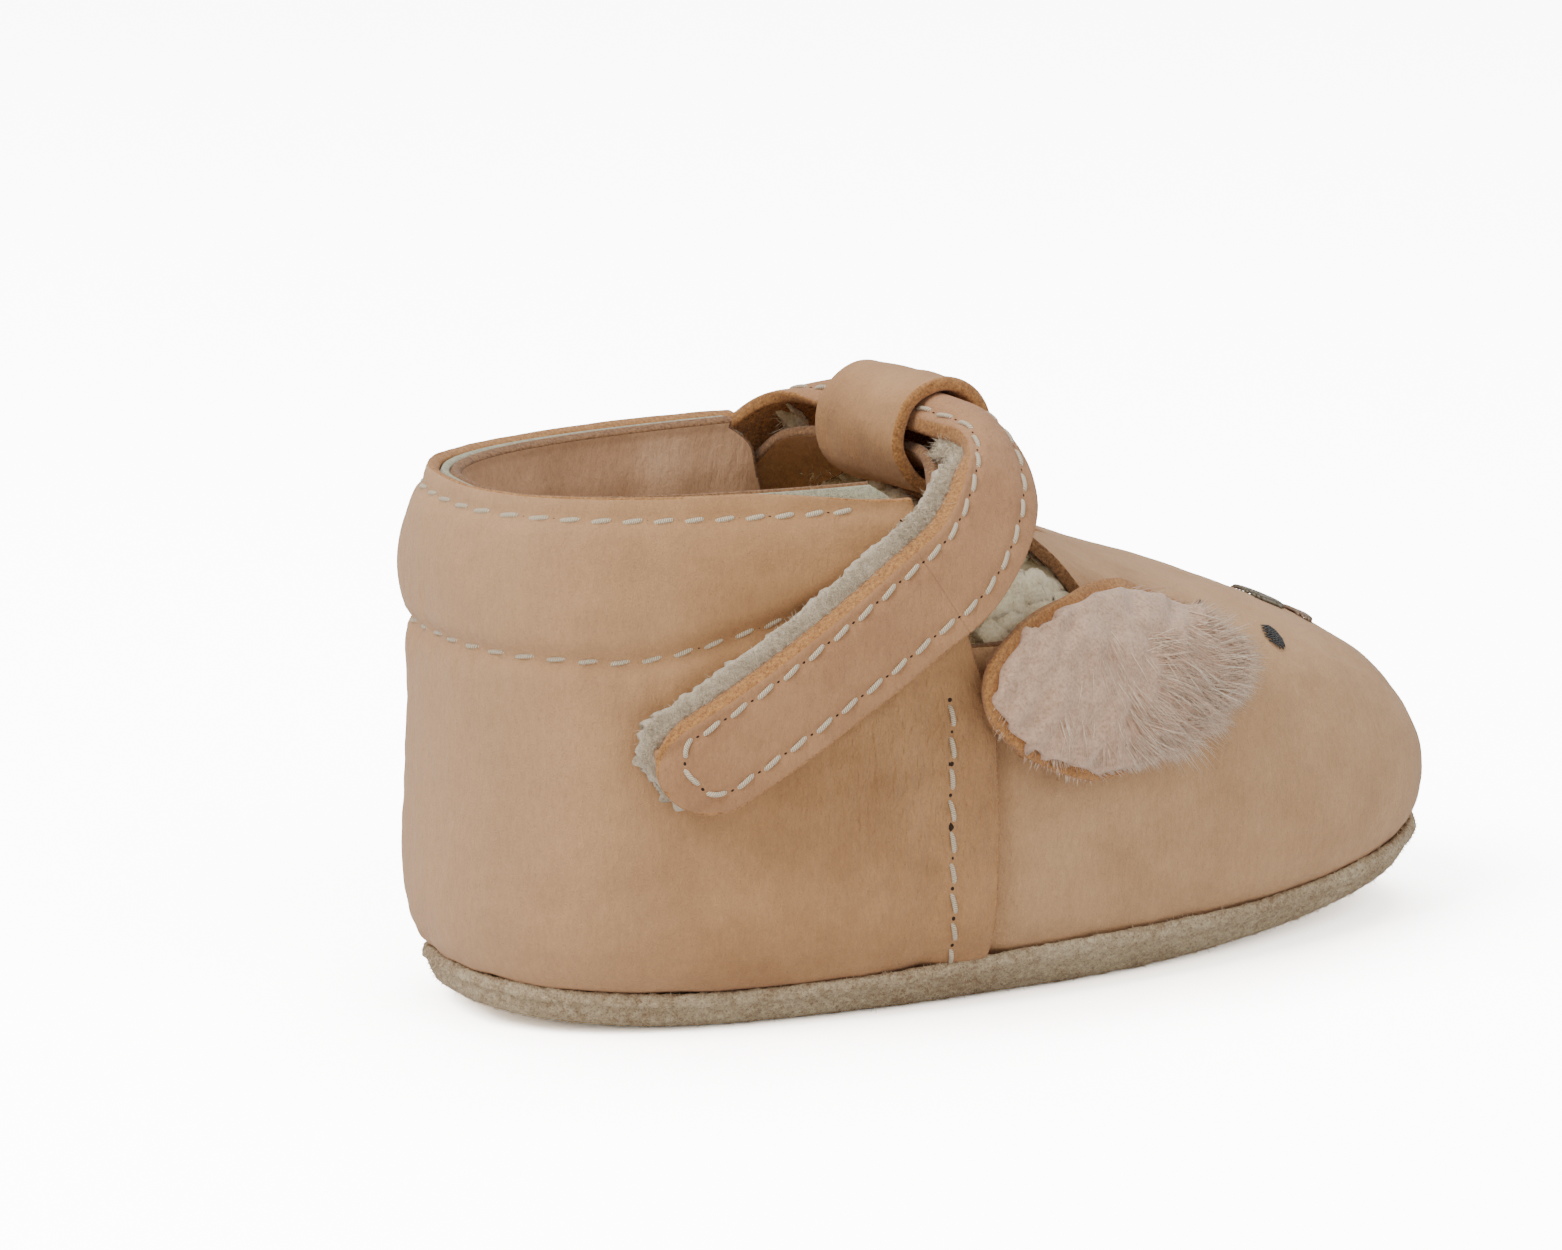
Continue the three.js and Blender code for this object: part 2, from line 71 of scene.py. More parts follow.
def aim(thing, azimuth, elevation, distance):
    """Puts a camera or lamp on a sphere round the target, looking at it."""
    back = away(azimuth, elevation)
    thing.location = TARGET + back * distance
    thing.rotation_mode = "QUATERNION"
    thing.rotation_quaternion = (-back).to_track_quat("-Z", "Y")
    bpy.context.scene.collection.objects.link(thing)


camera = bpy.data.objects.new("camera", bpy.data.cameras.new("camera"))
camera.data.lens = 183.3
camera.data.sensor_width = 36
camera.data.clip_end = 20
aim(camera, AZIMUTH, ELEVATION, DISTANCE)
bpy.context.scene.camera = camera
LAMPS_AWAY = 1.5


def lamp(name, azimuth, elevation, size, power):
    """Square soft box of that size, aimed at the shoe."""
    data = bpy.data.lights.new(name, "AREA")
    data.size, data.energy = size, power
    aim(bpy.data.objects.new(name, data), np.radians(azimuth), np.radians(elevation), LAMPS_AWAY)


lamp("key", -80, 48, 0.9, 18)
lamp("front", 15, 34, 1.2, 7)
lamp("top", 150, 78, 1.2, 12)
world = bpy.data.worlds.new("studio")
world.use_nodes = True
world.node_tree.nodes["Background"].inputs["Color"].default_value = (1, 1, 1, 1)
world.node_tree.nodes["Background"].inputs["Strength"].default_value = 0.4
bpy.context.scene.world = world

FLOOR = 6.0
floor_mesh = bpy.data.meshes.new("floor")
floor_corners = [(-FLOOR, -FLOOR, 0), (FLOOR, -FLOOR, 0), (FLOOR, FLOOR, 0), (-FLOOR, FLOOR, 0)]
floor_mesh.from_pydata(floor_corners, [], [(0, 1, 2, 3)])
floor = bpy.data.objects.new("floor", floor_mesh)
bpy.context.scene.collection.objects.link(floor)

# %% [markdown]
# ## Materials
# Every finish is worked out from the place on the piece, with noise at the size of the real
# grain. Nubuck is matt, mottled over a few millimetres and finely brushed. Its cut edge is a
# warmer brown felt of fibres. The sole is coarse suede, and the lining is a cream pile.

# %% Node helpers


class Finish:
    """A node material with short names for the nodes that these finishes use."""

    def __init__(self, name, roughness=0.8, **sockets):
        self.material = bpy.data.materials.new(name)
        self.material.use_nodes = True
        self.tree = self.material.node_tree
        self.shader = self.tree.nodes["Principled BSDF"]
        self.shader.inputs["Roughness"].default_value = roughness
        for key, value in sockets.items():
            self.shader.inputs[key.replace("_", " ")].default_value = value
        self.place = self.node("ShaderNodeTexCoord").outputs["Object"]

    def node(self, kind, inputs=(), **settings):
        made = self.tree.nodes.new(kind)
        for key, value in settings.items():
            setattr(made, key, value)
        for key, value in dict(inputs).items():
            if isinstance(value, bpy.types.NodeSocket):
                self.tree.links.new(value, made.inputs[key])
            else:
                made.inputs[key].default_value = value
        return made

    def stretched(self, x, y, z):
        """Object coordinates scaled along each axis."""
        made = self.node("ShaderNodeMapping", {"Vector": self.place, "Scale": (x, y, z)})
        return made.outputs["Vector"]

    def noise(self, size, detail=3, rough=0.6, place=None):
        """Noise from 0 to 1 whose lumps are about `size` millimetres across."""
        made = self.node("ShaderNodeTexNoise", {
            "Vector": place or self.place, "Scale": 1 / (size * MM), "Detail": detail,
            "Roughness": rough})
        return made.outputs["Fac"]

    def ramp(self, value, low, high, to_low=0.0, to_high=1.0):
        """Carries low..high to to_low..to_high, and stops at both ends."""
        made = self.node("ShaderNodeMapRange", {"Value": value, "From Min": low, "From Max": high,
                                                "To Min": to_low, "To Max": to_high})
        return made.outputs["Result"]

    def both(self, a, b, how="MULTIPLY"):
        return self.node("ShaderNodeMath", {0: a, 1: b}, operation=how).outputs[0]

    def colours(self, share, a, b):
        made = self.node("ShaderNodeMix", {"Factor": share}, data_type="RGBA")
        for key, value in ((6, a), (7, b)):
            if isinstance(value, bpy.types.NodeSocket):
                self.tree.links.new(value, made.inputs[key])
            else:
                made.inputs[key].default_value = value
        return made.outputs[2]

    def shaded(self, colour, amount):
        """The colour times an amount near 1."""
        made = self.node("ShaderNodeMix", {0: 1.0, 6: colour}, data_type="RGBA", blend_type="MULTIPLY")
        self.tree.links.new(amount, made.inputs[7])
        return made.outputs[2]

    def bump(self, height, depth, strength=1.0, under=None):
        """Tilts the surface as if `height` stood `depth` millimetres high."""
        inputs = {"Height": height, "Distance": depth * MM, "Strength": strength}
        if under:
            inputs["Normal"] = under
        return self.node("ShaderNodeBump", inputs).outputs["Normal"]

    def finish(self, colour, normal=None, roughness=None):
        self.tree.links.new(colour, self.shader.inputs["Base Color"])
        if normal:
            self.tree.links.new(normal, self.shader.inputs["Normal"])
        if roughness:
            self.tree.links.new(roughness, self.shader.inputs["Roughness"])
        return self.material


def rgb(red, green, blue):
    """Screen colour 0..255 as the linear light that the shader mixes."""
    c = np.array([red, green, blue]) / 255
    line = np.where(c > 0.04045, ((c + 0.055) / 1.055) ** 2.4, c / 12.92)
    return (*line.tolist(), 1.0)


# %% Leather, inside and out


def nubuck(name, light, dark, heel=None, grain=1.0):
    """Matt brushed leather: wide mottle, a fine vertical brush, pores and creases. A lighter,
    pinker heel colour may come in over the last of the shoe's length: painted light."""
    f = Finish(name, 0.78, Sheen_Weight=0.12, Sheen_Roughness=0.6)
    mottle = f.ramp(f.noise(11, 4), 0.3, 0.7)
    colour = f.colours(mottle, dark, light)
    if heel:
        # Painted light: towards the heel end the colour turns lighter and pinker, where the key lamp
        # falls.
        x = f.node("ShaderNodeSeparateXYZ", {0: f.place}).outputs[0]
        colour = f.colours(f.ramp(x, -34 * MM, -60 * MM, 0, 0.75), colour, heel)
    brush = f.noise(0.5, 4, 0.7, f.stretched(1.0, 1.0, 0.28))
    fine = f.noise(0.22, 3, 0.65)
    hairs = f.both(brush, fine, "ADD")
    pores = f.node("ShaderNodeTexVoronoi", {"Vector": f.place, "Scale": 1 / (0.85 * MM)})
    pore = pores.outputs["Distance"]
    colour = f.shaded(colour, f.ramp(hairs, 0.7, 1.35, 0.88, 1.1))
    colour = f.shaded(colour, f.ramp(pore, 0.06, 0.16, 0.86, 1.0))
    crease = f.node("ShaderNodeAttribute", attribute_name="crease").outputs["Fac"]
    folds = f.both(f.noise(1.1, 3, 0.6, f.stretched(1.2, 1.0, 0.42)), crease)
    normal = f.bump(folds, 0.95)
    normal = f.bump(pore, 0.05 * grain, 0.7, normal)
    normal = f.bump(hairs, 0.1 * grain, 1.0, normal)
    return f.finish(colour, normal)


def raw_edge(name, light, dark):
    """Cut leather edge: a felt of short brown fibres."""
    f = Finish(name, 0.95, Sheen_Weight=0.2)
    tuft = f.noise(0.35, 5, 0.75)
    colour = f.colours(f.ramp(tuft, 0.35, 0.68), dark, light)
    return f.finish(colour, f.bump(f.noise(0.28, 4, 0.7), 0.3))


def suede(name, light, dark):
    """Coarse split leather: clumps of nap lighter and darker by the way that they lie."""
    f = Finish(name, 1.0, Sheen_Weight=0.15)
    clumps = f.both(f.noise(0.7, 4, 0.7), f.noise(0.21, 3, 0.7), "ADD")
    wide = f.ramp(f.noise(9, 3), 0.3, 0.7, -0.12, 0.12)
    colour = f.colours(f.ramp(f.both(clumps, wide, "ADD"), 0.78, 1.25), dark, light)
    return f.finish(colour, f.bump(clumps, 0.5))


# The tan leather's third colour is painted light on the heel end.
leather_tan = nubuck("leather_tan", rgb(197, 148, 98), rgb(170, 122, 76), rgb(204, 160, 118))
# Painted light: the toe leather is a lighter, paler copy of the tan leather, for the light on the toe.
leather_toe_painted_light = nubuck("leather_toe_painted_light", rgb(206, 162, 116), rgb(184, 140, 96))
leather_strap = nubuck("leather_strap", rgb(190, 140, 96), rgb(168, 118, 78))
leather_lining = nubuck("leather_lining", rgb(226, 182, 142), rgb(204, 156, 116), None, 0.6)
leather_raw = raw_edge("leather_raw", rgb(218, 158, 92), rgb(150, 96, 48))
lining_raw = raw_edge("lining_raw", rgb(176, 128, 82), rgb(110, 72, 40))
sole_suede = suede("sole_suede", rgb(255, 236, 196), rgb(178, 142, 102))

# %% Pile, tape, hair and thread


def pile(name, light, dark, size=1.6):
    """Woolly pile: tufts about `size` millimetres across with darker gaps."""
    f = Finish(name, 1.0, Sheen_Weight=0.35, Sheen_Roughness=0.7)
    tufts = f.both(f.noise(size, 4, 0.65), f.noise(size * 0.25, 3, 0.7), "ADD")
    colour = f.colours(f.ramp(tufts, 0.72, 1.2), dark, light)
    return f.finish(colour, f.bump(tufts, 0.14))


def strands_finish(name, root, light, dark, gloss=0.55):
    """Hair and nap: each strand has its own tint, and it is darker at the root."""
    f = Finish(name, gloss, Sheen_Weight=0.2)
    uv = f.node("ShaderNodeSeparateXYZ", {0: f.node("ShaderNodeTexCoord").outputs["UV"]})
    colour = f.colours(uv.outputs[0], dark, light)
    colour = f.colours(f.ramp(uv.outputs[1], 0.0, 0.45), root, colour)
    return f.finish(colour)


def twisted(name, light, dark, gloss=0.55):
    """Thread: strands laid in a steep helix, read from the thread's own map."""
    f = Finish(name, gloss, Sheen_Weight=0.25)
    uv = f.node("ShaderNodeTexCoord").outputs["UV"]
    wave = {"Vector": uv, "Scale": 0.8, "Distortion": 0.6, "Detail": 1.0}
    ply = f.node("ShaderNodeTexWave", wave, bands_direction="DIAGONAL").outputs["Fac"]
    colour = f.colours(f.ramp(ply, 0.1, 0.7), dark, light)
    return f.finish(colour, f.bump(ply, 0.12))


def plain(name, colour, roughness=0.9):
    """Painted shade for small recesses, faintly mottled."""
    f = Finish(name, roughness)
    return f.finish(f.colours(f.noise(0.4), colour, tuple(c * 0.6 for c in colour[:3]) + (1,)))


fleece = pile("fleece", rgb(240, 226, 188), rgb(206, 188, 146))
foam = pile("foam", rgb(198, 194, 160), rgb(128, 122, 92), 0.5)
tape = pile("tape", rgb(222, 204, 174), rgb(168, 148, 118), 0.5)
tape_nap = strands_finish("tape_nap", rgb(160, 142, 112), rgb(242, 228, 202), rgb(194, 176, 146), 0.8)
fleece_nap = strands_finish("fleece_nap", rgb(184, 160, 122), rgb(250, 236, 204),
                            rgb(214, 194, 156), 0.8)
fur = strands_finish("fur", rgb(186, 144, 112), rgb(255, 238, 214), rgb(216, 174, 142), 0.6)
suede_nap = strands_finish("suede_nap", rgb(178, 148, 112), rgb(246, 222, 184), rgb(190, 160, 122), 0.9)
thread = twisted("thread", rgb(255, 240, 210), rgb(196, 168, 128))
# Painted shade: the dark lens at each needle hole stands for the shade in the hole.
painted_hole_shade = plain("painted_hole_shade", rgb(52, 34, 20))
thread_black = twisted("thread_black", rgb(26, 24, 23), rgb(16, 15, 14), 0.4)
thread_brown = twisted("thread_brown", rgb(150, 118, 86), rgb(96, 72, 50), 0.5)
thread_olive = twisted("thread_olive", rgb(112, 100, 72), rgb(62, 54, 38), 0.5)

PAPER, PAPER_SEEN = 0.8, 8.6
paper = bpy.data.materials.new("paper")
paper.use_nodes = True
paper.node_tree.nodes.remove(paper.node_tree.nodes["Principled BSDF"])
matt = paper.node_tree.nodes.new("ShaderNodeBsdfDiffuse")
glow = paper.node_tree.nodes.new("ShaderNodeMix")
glow.data_type = "RGBA"
glow.inputs[6].default_value = (PAPER, PAPER, PAPER, 1)
glow.inputs[7].default_value = (PAPER_SEEN, PAPER_SEEN, PAPER_SEEN, 1)
ray = paper.node_tree.nodes.new("ShaderNodeLightPath")
paper.node_tree.links.new(ray.outputs["Is Camera Ray"], glow.inputs[0])
paper.node_tree.links.new(glow.outputs[2], matt.inputs["Color"])
surface_in = paper.node_tree.nodes["Material Output"].inputs["Surface"]
paper.node_tree.links.new(matt.outputs[0], surface_in)
floor.data.materials.append(paper)
print("materials:", len(bpy.data.materials))

# %% [markdown]
# ## The foot shape
# One surface carries the whole upper, as a wooden last does for a shoemaker. Its plan is a
# superellipse, squarer at the heel. Its walls are three Bezier profiles, at the toe, the sides
# and the heel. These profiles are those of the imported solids, in millimetres, so that each
# piece lies where its solid is. The throat, the collar's front corners and the inner side of
# the straps differ a little from the solids.

# %% The last
CENTRE = np.array([-0.35, -0.83, 0])
SEAM_X = -6.1
SQUARE, SQUARE_TOE = 2.63, 1.95
INFLARE, TOE_SPRING, HEEL_ROCKER, LEAN = 4.5, 4.5, 2.5, 0.3
TOE = [[64.2, 4], [70.4, 7.5], [70.2, 32], [45.5, 37], [21.5, 43.5], [3, 53]]
SIDE = [[19.5, 4], [29.5, 6], [25, 24], [25.5, 36], [25.5, 46], [20, 57.8]]
HEEL = [[50, 4], [57, 6], [51.7, 24], [50.5, 34], [56, 48], [50.5, 58.3]]


def mix(a, b, t):
    return a + (b - a) * t


def ease(t):
    """0 below 0, 1 above 1, and a smooth S between."""
    t = np.clip(t, 0, 1)
    return t * t * (3 - 2 * t)


def bell(distance, width):
    """1 at no distance, falling as a Gaussian."""
    return np.exp(-(distance / width) ** 2)


def bezier(points, s):
    """Reach and height at share s: neighbours are mixed by s until one point is left."""
    p, s = [np.array(q, float) for q in points], np.asarray(s, float)[..., None]
    while len(p) > 1:
        p = [mix(a, b, s) for a, b in zip(p, p[1:])]
    return p[0][..., 0], p[0][..., 1]


def rise(x):
    """Height of the sole's underside above the floor: squared past the ball and the heel."""
    return (TOE_SPRING * np.clip((x - 10) / 48, 0, 1.4) ** 2
            + HEEL_ROCKER * np.clip((-x - 32) / 28, 0, 1.4) ** 2)


def swing(x):
    return INFLARE * ease((x + 17) / 75)


def surface(a, s):
    """Point at plan angle a (degrees, 0 toe, 90 inner side, 180 heel) and wall share s."""
    a, s = np.broadcast_arrays(np.asarray(a, float), np.asarray(s, float))
    c, d = np.cos(np.radians(a)), np.sin(np.radians(a))
    toe = ease((s - 0.35) / 0.45) * ease(c * 2) * (c > 0)
    n = mix(SQUARE, SQUARE_TOE, toe)
    r = (np.abs(c) ** n + np.abs(d) ** n) ** (-1 / n)
    ends = [np.where(c > 0, t, h) for t, h in zip(bezier(TOE, s), bezier(HEEL, s))]
    half, side_z = bezier(SIDE, s)
    x = SEAM_X + ends[0] * r * c
    z = mix(side_z, ends[1], np.abs(r * c) ** n) + rise(x) * (1 - s) + LEAN * r * d * s * s
    return np.stack([x, half * r * d + swing(x), z], -1)


def unit(v):
    return v / np.maximum(np.linalg.norm(v, axis=-1, keepdims=True), 1e-12)


def outward(a, s):
    """Unit normal: across the step in a, and the step in s."""
    a, s = np.broadcast_arrays(np.asarray(a, float), np.asarray(s, float))
    along = surface(a + 0.05, s) - surface(a - 0.05, s)
    return unit(np.cross(along, surface(a, s + 0.002) - surface(a, s - 0.002)))


def last(a, s, off=0.0):
    return surface(a, s) + outward(a, s) * np.asarray(off, float)[..., None]


def locate(x, z, side):
    """Plan angle and share of the wall point at (x, z), by Newton's steps from a first guess."""
    a, s = np.degrees(np.arctan2(25, x - SEAM_X)), np.full(np.shape(x), 0.5)
    da, ds = 0.1, 0.002
    for _ in range(25):
        p, q, r = surface(side * a, s), surface(side * (a + da), s), surface(side * a, s + ds)
        ma, ms = (q - p) / da, (r - p) / ds
        det = ma[..., 0] * ms[..., 2] - ms[..., 0] * ma[..., 2]
        dx, dz = x - p[..., 0], z - p[..., 2]
        a = a + np.clip((dx * ms[..., 2] - dz * ms[..., 0]) / det, -8, 8)
        s = np.clip(s + (ma[..., 0] * dz - ma[..., 2] * dx) / det, 0, 1.05)
    return side * a, s


def wall(x, z, off=0.0, side=-1):
    return last(*locate(*np.broadcast_arrays(x, z), side), off)


print("length over the last:", round(float(surface(0, 0.2)[0] - surface(180, 0.2)[0]), 1), "mm")

# %% [markdown]
# ## Making meshes
# A leather or cloth piece is a grid of points for its face. Its back is the same grid set in
# by the thickness, and both meet at the rim in a rounded edge, so the piece is closed. Grid
# lines crowd towards the rim to draw that edge. The rim's faces take the cut-edge finish.

# %% From grids to closed pieces
RNG = np.random.default_rng(7)


def make(name, points, faces, materials, index=None, uv=None, **marks):
    """Mesh from points (mm) and faces (arrays of 3 or 4 columns), placed in the frame."""
    faces = [np.asarray(f) for f in (faces if isinstance(faces, list) else [faces])]
    flat = (np.asarray(points, float).reshape(-1, 3) + CENTRE) * MM
    loops = np.concatenate([f.ravel() for f in faces]).astype(np.int32)
    sizes = np.concatenate([np.full(len(f), f.shape[1]) for f in faces])
    starts = np.concatenate([[0], np.cumsum(sizes)[:-1]]).astype(np.int32)
    mesh = bpy.data.meshes.new(name)
    mesh.vertices.add(len(flat))
    mesh.vertices.foreach_set("co", flat.ravel().astype(np.float32))
    mesh.loops.add(len(loops))
    mesh.loops.foreach_set("vertex_index", loops)
    mesh.polygons.add(len(starts))
    mesh.polygons.foreach_set("loop_start", starts)
    mesh.update(calc_edges=True)
    mesh.shade_smooth()
    for m in materials if isinstance(materials, (list, tuple)) else [materials]:
        mesh.materials.append(m)
    if index is not None:
        mesh.polygons.foreach_set("material_index", np.asarray(index, np.int32))
    if uv is not None:
        layer = mesh.uv_layers.new(name="UVMap")
        layer.data.foreach_set("uv", np.asarray(uv, np.float32)[loops].ravel())
    for key, values in marks.items():
        layer = mesh.attributes.new(key, "FLOAT", "POINT")
        layer.data.foreach_set("value", np.asarray(values, np.float32).ravel())
    piece = bpy.data.objects.new(name, mesh)
    bpy.context.scene.collection.objects.link(piece)
    return piece


def settle(piece, body, nodes=(), bend=None):
    """Rides the piece on a body, or, given a bend, only bakes its place; and says what it stands for.
    """
    if bend:
        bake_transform(piece)
    else:
        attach(piece, body)
    if nodes:
        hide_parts(*nodes)
    print(piece.name, len(piece.data.polygons), "faces")
    return piece


def steps(n, share=0.0, rim=4):
    """n even steps from 0 to 1, with a quarter circle of extra lines in each end's share."""
    if not share:
        return np.linspace(0, 1, n + 1)
    turn = share * (1 - np.cos(np.linspace(0, np.pi / 2, rim + 1)))[:-1]
    return np.concatenate([turn, np.linspace(share, 1 - share, n + 1), 1 - turn[::-1]])


def run_length(grid, axis):
    """Distance walked along the grid from its first line, in that direction."""
    step = np.linalg.norm(np.diff(grid, axis=axis), axis=-1)
    zero = np.zeros_like(np.take(step, [0], axis=axis))
    return np.concatenate([zero, np.cumsum(step, axis=axis)], axis=axis)


def normals_of(grid):
    return unit(np.cross(np.gradient(grid, axis=1), np.gradient(grid, axis=0)))


def grid_faces(rows, cols, wrap=False):
    """Corner numbers of every cell of a grid; wrap joins the last column to the first."""
    i, j = np.meshgrid(np.arange(rows - 1), np.arange(cols if wrap else cols - 1), indexing="ij")
    k = (j + 1) % cols
    cells = [i * cols + j, i * cols + k, (i + 1) * cols + k, (i + 1) * cols + j]
    return np.stack(cells, -1).reshape(-1, 4)


BUTT_RIM = 0.02


def sheet(name, face, thick, materials, rim=0.5, squareness=3.0, butt=(False, False), cut=None,
          **marks):
    """Closed sheet under a grid of face points. The half thickness h follows the distance d
    to the rim: h = thick / 2 * (1 - (1 - d / rim) ** p) ** (1 / p), so the edge is round.
    A butt end is left square, to meet the next sheet. Faces where cut is 1 are raw too."""
    rows, cols = face.shape[:2]
    swell, near = np.ones((rows, cols)), np.full((rows, cols), 1e3)
    for axis, square in ((1, butt), (0, (False, False))):
        d = run_length(face, axis)
        for side, whole in ((d, square[0]), (np.take(d, [-1], axis=axis) - d, square[1])):
            inward = 1 - np.clip(side / (BUTT_RIM if whole else rim), 0, 1)
            swell = swell * (1 - inward ** squareness) ** (1 / squareness)
            near = near if whole else np.minimum(near, side)
    normal, thick = normals_of(face), np.broadcast_to(thick, swell.shape)
    front = face - normal * (thick * (1 - swell) / 2)[..., None]
    back = face - normal * (thick * (1 + swell) / 2)[..., None]
    inner = np.zeros((rows, cols), bool)
    inner[1:-1, 1:-1] = True
    number = np.arange(rows * cols)
    number[inner.ravel()] = rows * cols + np.arange(inner.sum())
    cells = grid_faces(rows, cols)
    raw = near.ravel()[cells].mean(1) < rim * 0.75
    if cut is not None:
        raw |= cut.ravel()[cells].mean(1) > 0.5
    index = np.concatenate([raw * 1, np.where(raw, 1, 2 if len(materials) > 2 else 0)])
    if len(materials) < 2:
        index[:] = 0
    points = np.concatenate([front.reshape(-1, 3), back[inner]])
    marks = {k: np.broadcast_to(v, (rows, cols)) for k, v in marks.items()}
    marks = {k: np.concatenate([v.ravel(), v[inner]]) for k, v in marks.items()}
    faces = np.concatenate([cells, number[cells][:, ::-1]])
    return make(name, points, faces, materials, index, **marks)


def ripple(x, y, size, seed):
    """Smooth random field of about unit height: plane waves of one size in random directions."""
    r, waves = np.random.default_rng(seed), 22
    turn, phase = r.uniform(0, 2 * np.pi, (2, waves))
    pitch = 2 * np.pi / size * r.uniform(0.6, 1.5, waves)
    total = np.zeros(np.broadcast(x, y).shape)
    for t, p, k in zip(turn, phase, pitch):
        total += np.sin(k * (x * np.cos(t) + y * np.sin(t)) + p)
    return total / np.sqrt(waves)


# %% [markdown]
# ## Heel and sides
# The quarter is one leather piece from seam to seam round the heel. The padded collar swells
# it near the top, and a row of stitches pinches it below the padding. A second row holds the
# topline. Its front edge lies over the toe leather and is sewn down through it.

# %% The quarter
LEATHER, GAP, LINING_GAP, FLEECE = 1.4, 0.3, 0.6, 2.2
PAD_MIN, PAD_MAX, COLLAR_S = 0.9, 2.9, 0.69
TOP_STITCH = 0.957
PITCH, THREAD_R = 3.3, 0.29
# Millimetres of a whole wall, of a degree round the heel, and of a degree at the seam.
WALL_MM, GIRTH_MM, SEAM_MM = 62, 0.62, 0.45
# The same for the toe and the linings, a little rounder.
INNER_WALL_MM, INNER_GIRTH_MM = 60, 0.6
STRAP_RUN_FROM, STRAP_RUN = np.array([-7.1, 50.0]), unit(np.array([-0.845, -0.535]))


def front_edge(s):
    """Plan angle of the quarter's front edge: up the seam, back along the strap, and round
    the top corner."""
    corner = np.clip((s - 0.955) / 0.045, 0, 1) ** 2
    return 90.25 + 6.5 * ease((s - 0.6) / 0.4) + 3 * corner


def collar_line(a):
    """Wall share of the collar's lower stitches: level, then up beside the strap."""
    return COLLAR_S + 0.012 + 0.1 * ease(((a - 99) / 147.5 - 0.86) / 0.22)


def padded_collar(a, s, front):
    """The collar's swelling between its two rows of stitches, pinched at each row and dented
    by each stitch of the upper one, with small tucks under the lower one."""
    girth, below, above = a * GIRTH_MM, (s - collar_line(a)) * WALL_MM, (s - TOP_STITCH) * WALL_MM
    up = np.clip((s - collar_line(a)) / (TOP_STITCH - collar_line(a)), 0, 1)
    off = 0.85 * np.sin(np.pi * up) ** 0.6 * mix(0.25, 1, ease((front - 1) / 10))
    off = off - 0.85 * bell(below, 1.2) - 0.36 * bell(above, 0.9)
    tucks = ripple(girth, below * 0.25, 3.1, 11) * bell(below + 1.4, 2.4)
    dents = np.sin(girth / PITCH * 2 * np.pi) * bell(above, 1.4)
    return off, 0.16 * tucks + 0.05 * dents


def quarter_face(a, s):
    """The quarter's outer face: the last with its padded collar, uneven as leather is, creased
    below the strap, and lifted at the front where it lies over the toe leather."""
    a, s = np.broadcast_arrays(np.asarray(a, float), np.asarray(s, float))
    girth, height = a * GIRTH_MM, s * WALL_MM
    front = np.minimum(a - front_edge(s), 360 - front_edge(s) - a) * SEAM_MM
    off, gathers = padded_collar(a, s, front)
    bent = bell(a - 257, 14) * bell(s - 0.42, 0.22)
    off += 0.13 * bent * ripple(girth, s * 18, 1.9, 14)
    off += gathers + 0.1 * ripple(girth, height, 13, 12) + 0.04 * ripple(girth, height, 5, 13)
    low = 1 - ease((s - 0.58) / 0.1)
    off += low * (0.75 * (1 - ease(front / 3.2)) - 0.25 * bell(front - 2.9, 0.7))
    return last(a, s, off)


def crease_mask(points):
    """Where the leather is creased fine by the foot's bending: below and before the strap."""
    x, y, z = np.moveaxis(points, -1, 0)
    spot = bell((x + 13) / 12, 1) * bell((z - 26) / 14, 1) * (y < 0)
    return np.clip(spot * 1.1, 0, 1) * 0.9 + 0.12


RIM_U, RIM_V = 0.003, 0.009


def shell_grid(left, right, low, high, nu, nv):
    """Plan angles and wall shares of a grid between two edges that may slant."""
    u, v = steps(nu, RIM_U)[None, :], steps(nv, RIM_V)[:, None]
    s = mix(low, high, v) + 0 * u
    return mix(left(s), right(s), u), s


OVER, UNDERLAP, DROOP = 1.6, -0.03, 0.03


def lap(s):
    """Plan angle of the quarter's edge: over the toe leather as far up as that goes."""
    return front_edge(s) - OVER * (1 - ease((s - 0.58) / 0.08))


# The topline drops at its outer front corner, within 9 mm of the 75 mm from end to end.
top = 1 - DROOP * (1 - ease(75 * (1 - steps(400, RIM_U)) / 9))
a, s = shell_grid(lap, lambda s: 360 - lap(s), UNDERLAP, top, 400, 96)
face = quarter_face(a, s)
tan_raw = [leather_tan, leather_raw, leather_raw]
quarter = sheet("quarter_leather", face, LEATHER, tan_raw, crease=crease_mask(face))
settle(quarter, "shoe", ["quarter"])

# %% [markdown]
# ## Toe
# The vamp wraps the toe and rises over the instep as a bar. Its rear margin dips under the
# quarter. The bar's top runs on into the rolled tab, as a separate short strap that hides the
# join, as the real one is turned back and sewn.

# %% The vamp and its bar
NECK, NECK_EDGE, THROAT_S = 34, 36, 0.69


def throat(a):
    """Top edge of the vamp: high over the instep, low at the sides."""
    return mix(0.975, THROAT_S, ease((np.abs(a) - NECK) / NECK_EDGE))


def vamp_face(a, s):
    """The last, with its margin pressed under the quarter and a little unevenness."""
    a, s = np.broadcast_arrays(np.asarray(a, float), np.asarray(s, float))
    rear = (90 - np.abs(a)) * SEAM_MM
    girth, height = a * INNER_GIRTH_MM, s * INNER_WALL_MM
    off = -1.15 * (1 - ease((rear + 0.2) / 2.4)) * (1 - ease((s - 0.7) / 0.1))
    off = off + 0.1 * ripple(girth, height, 14, 21) + 0.03 * ripple(girth, height, 4.5, 22)
    return last(a, s, off)


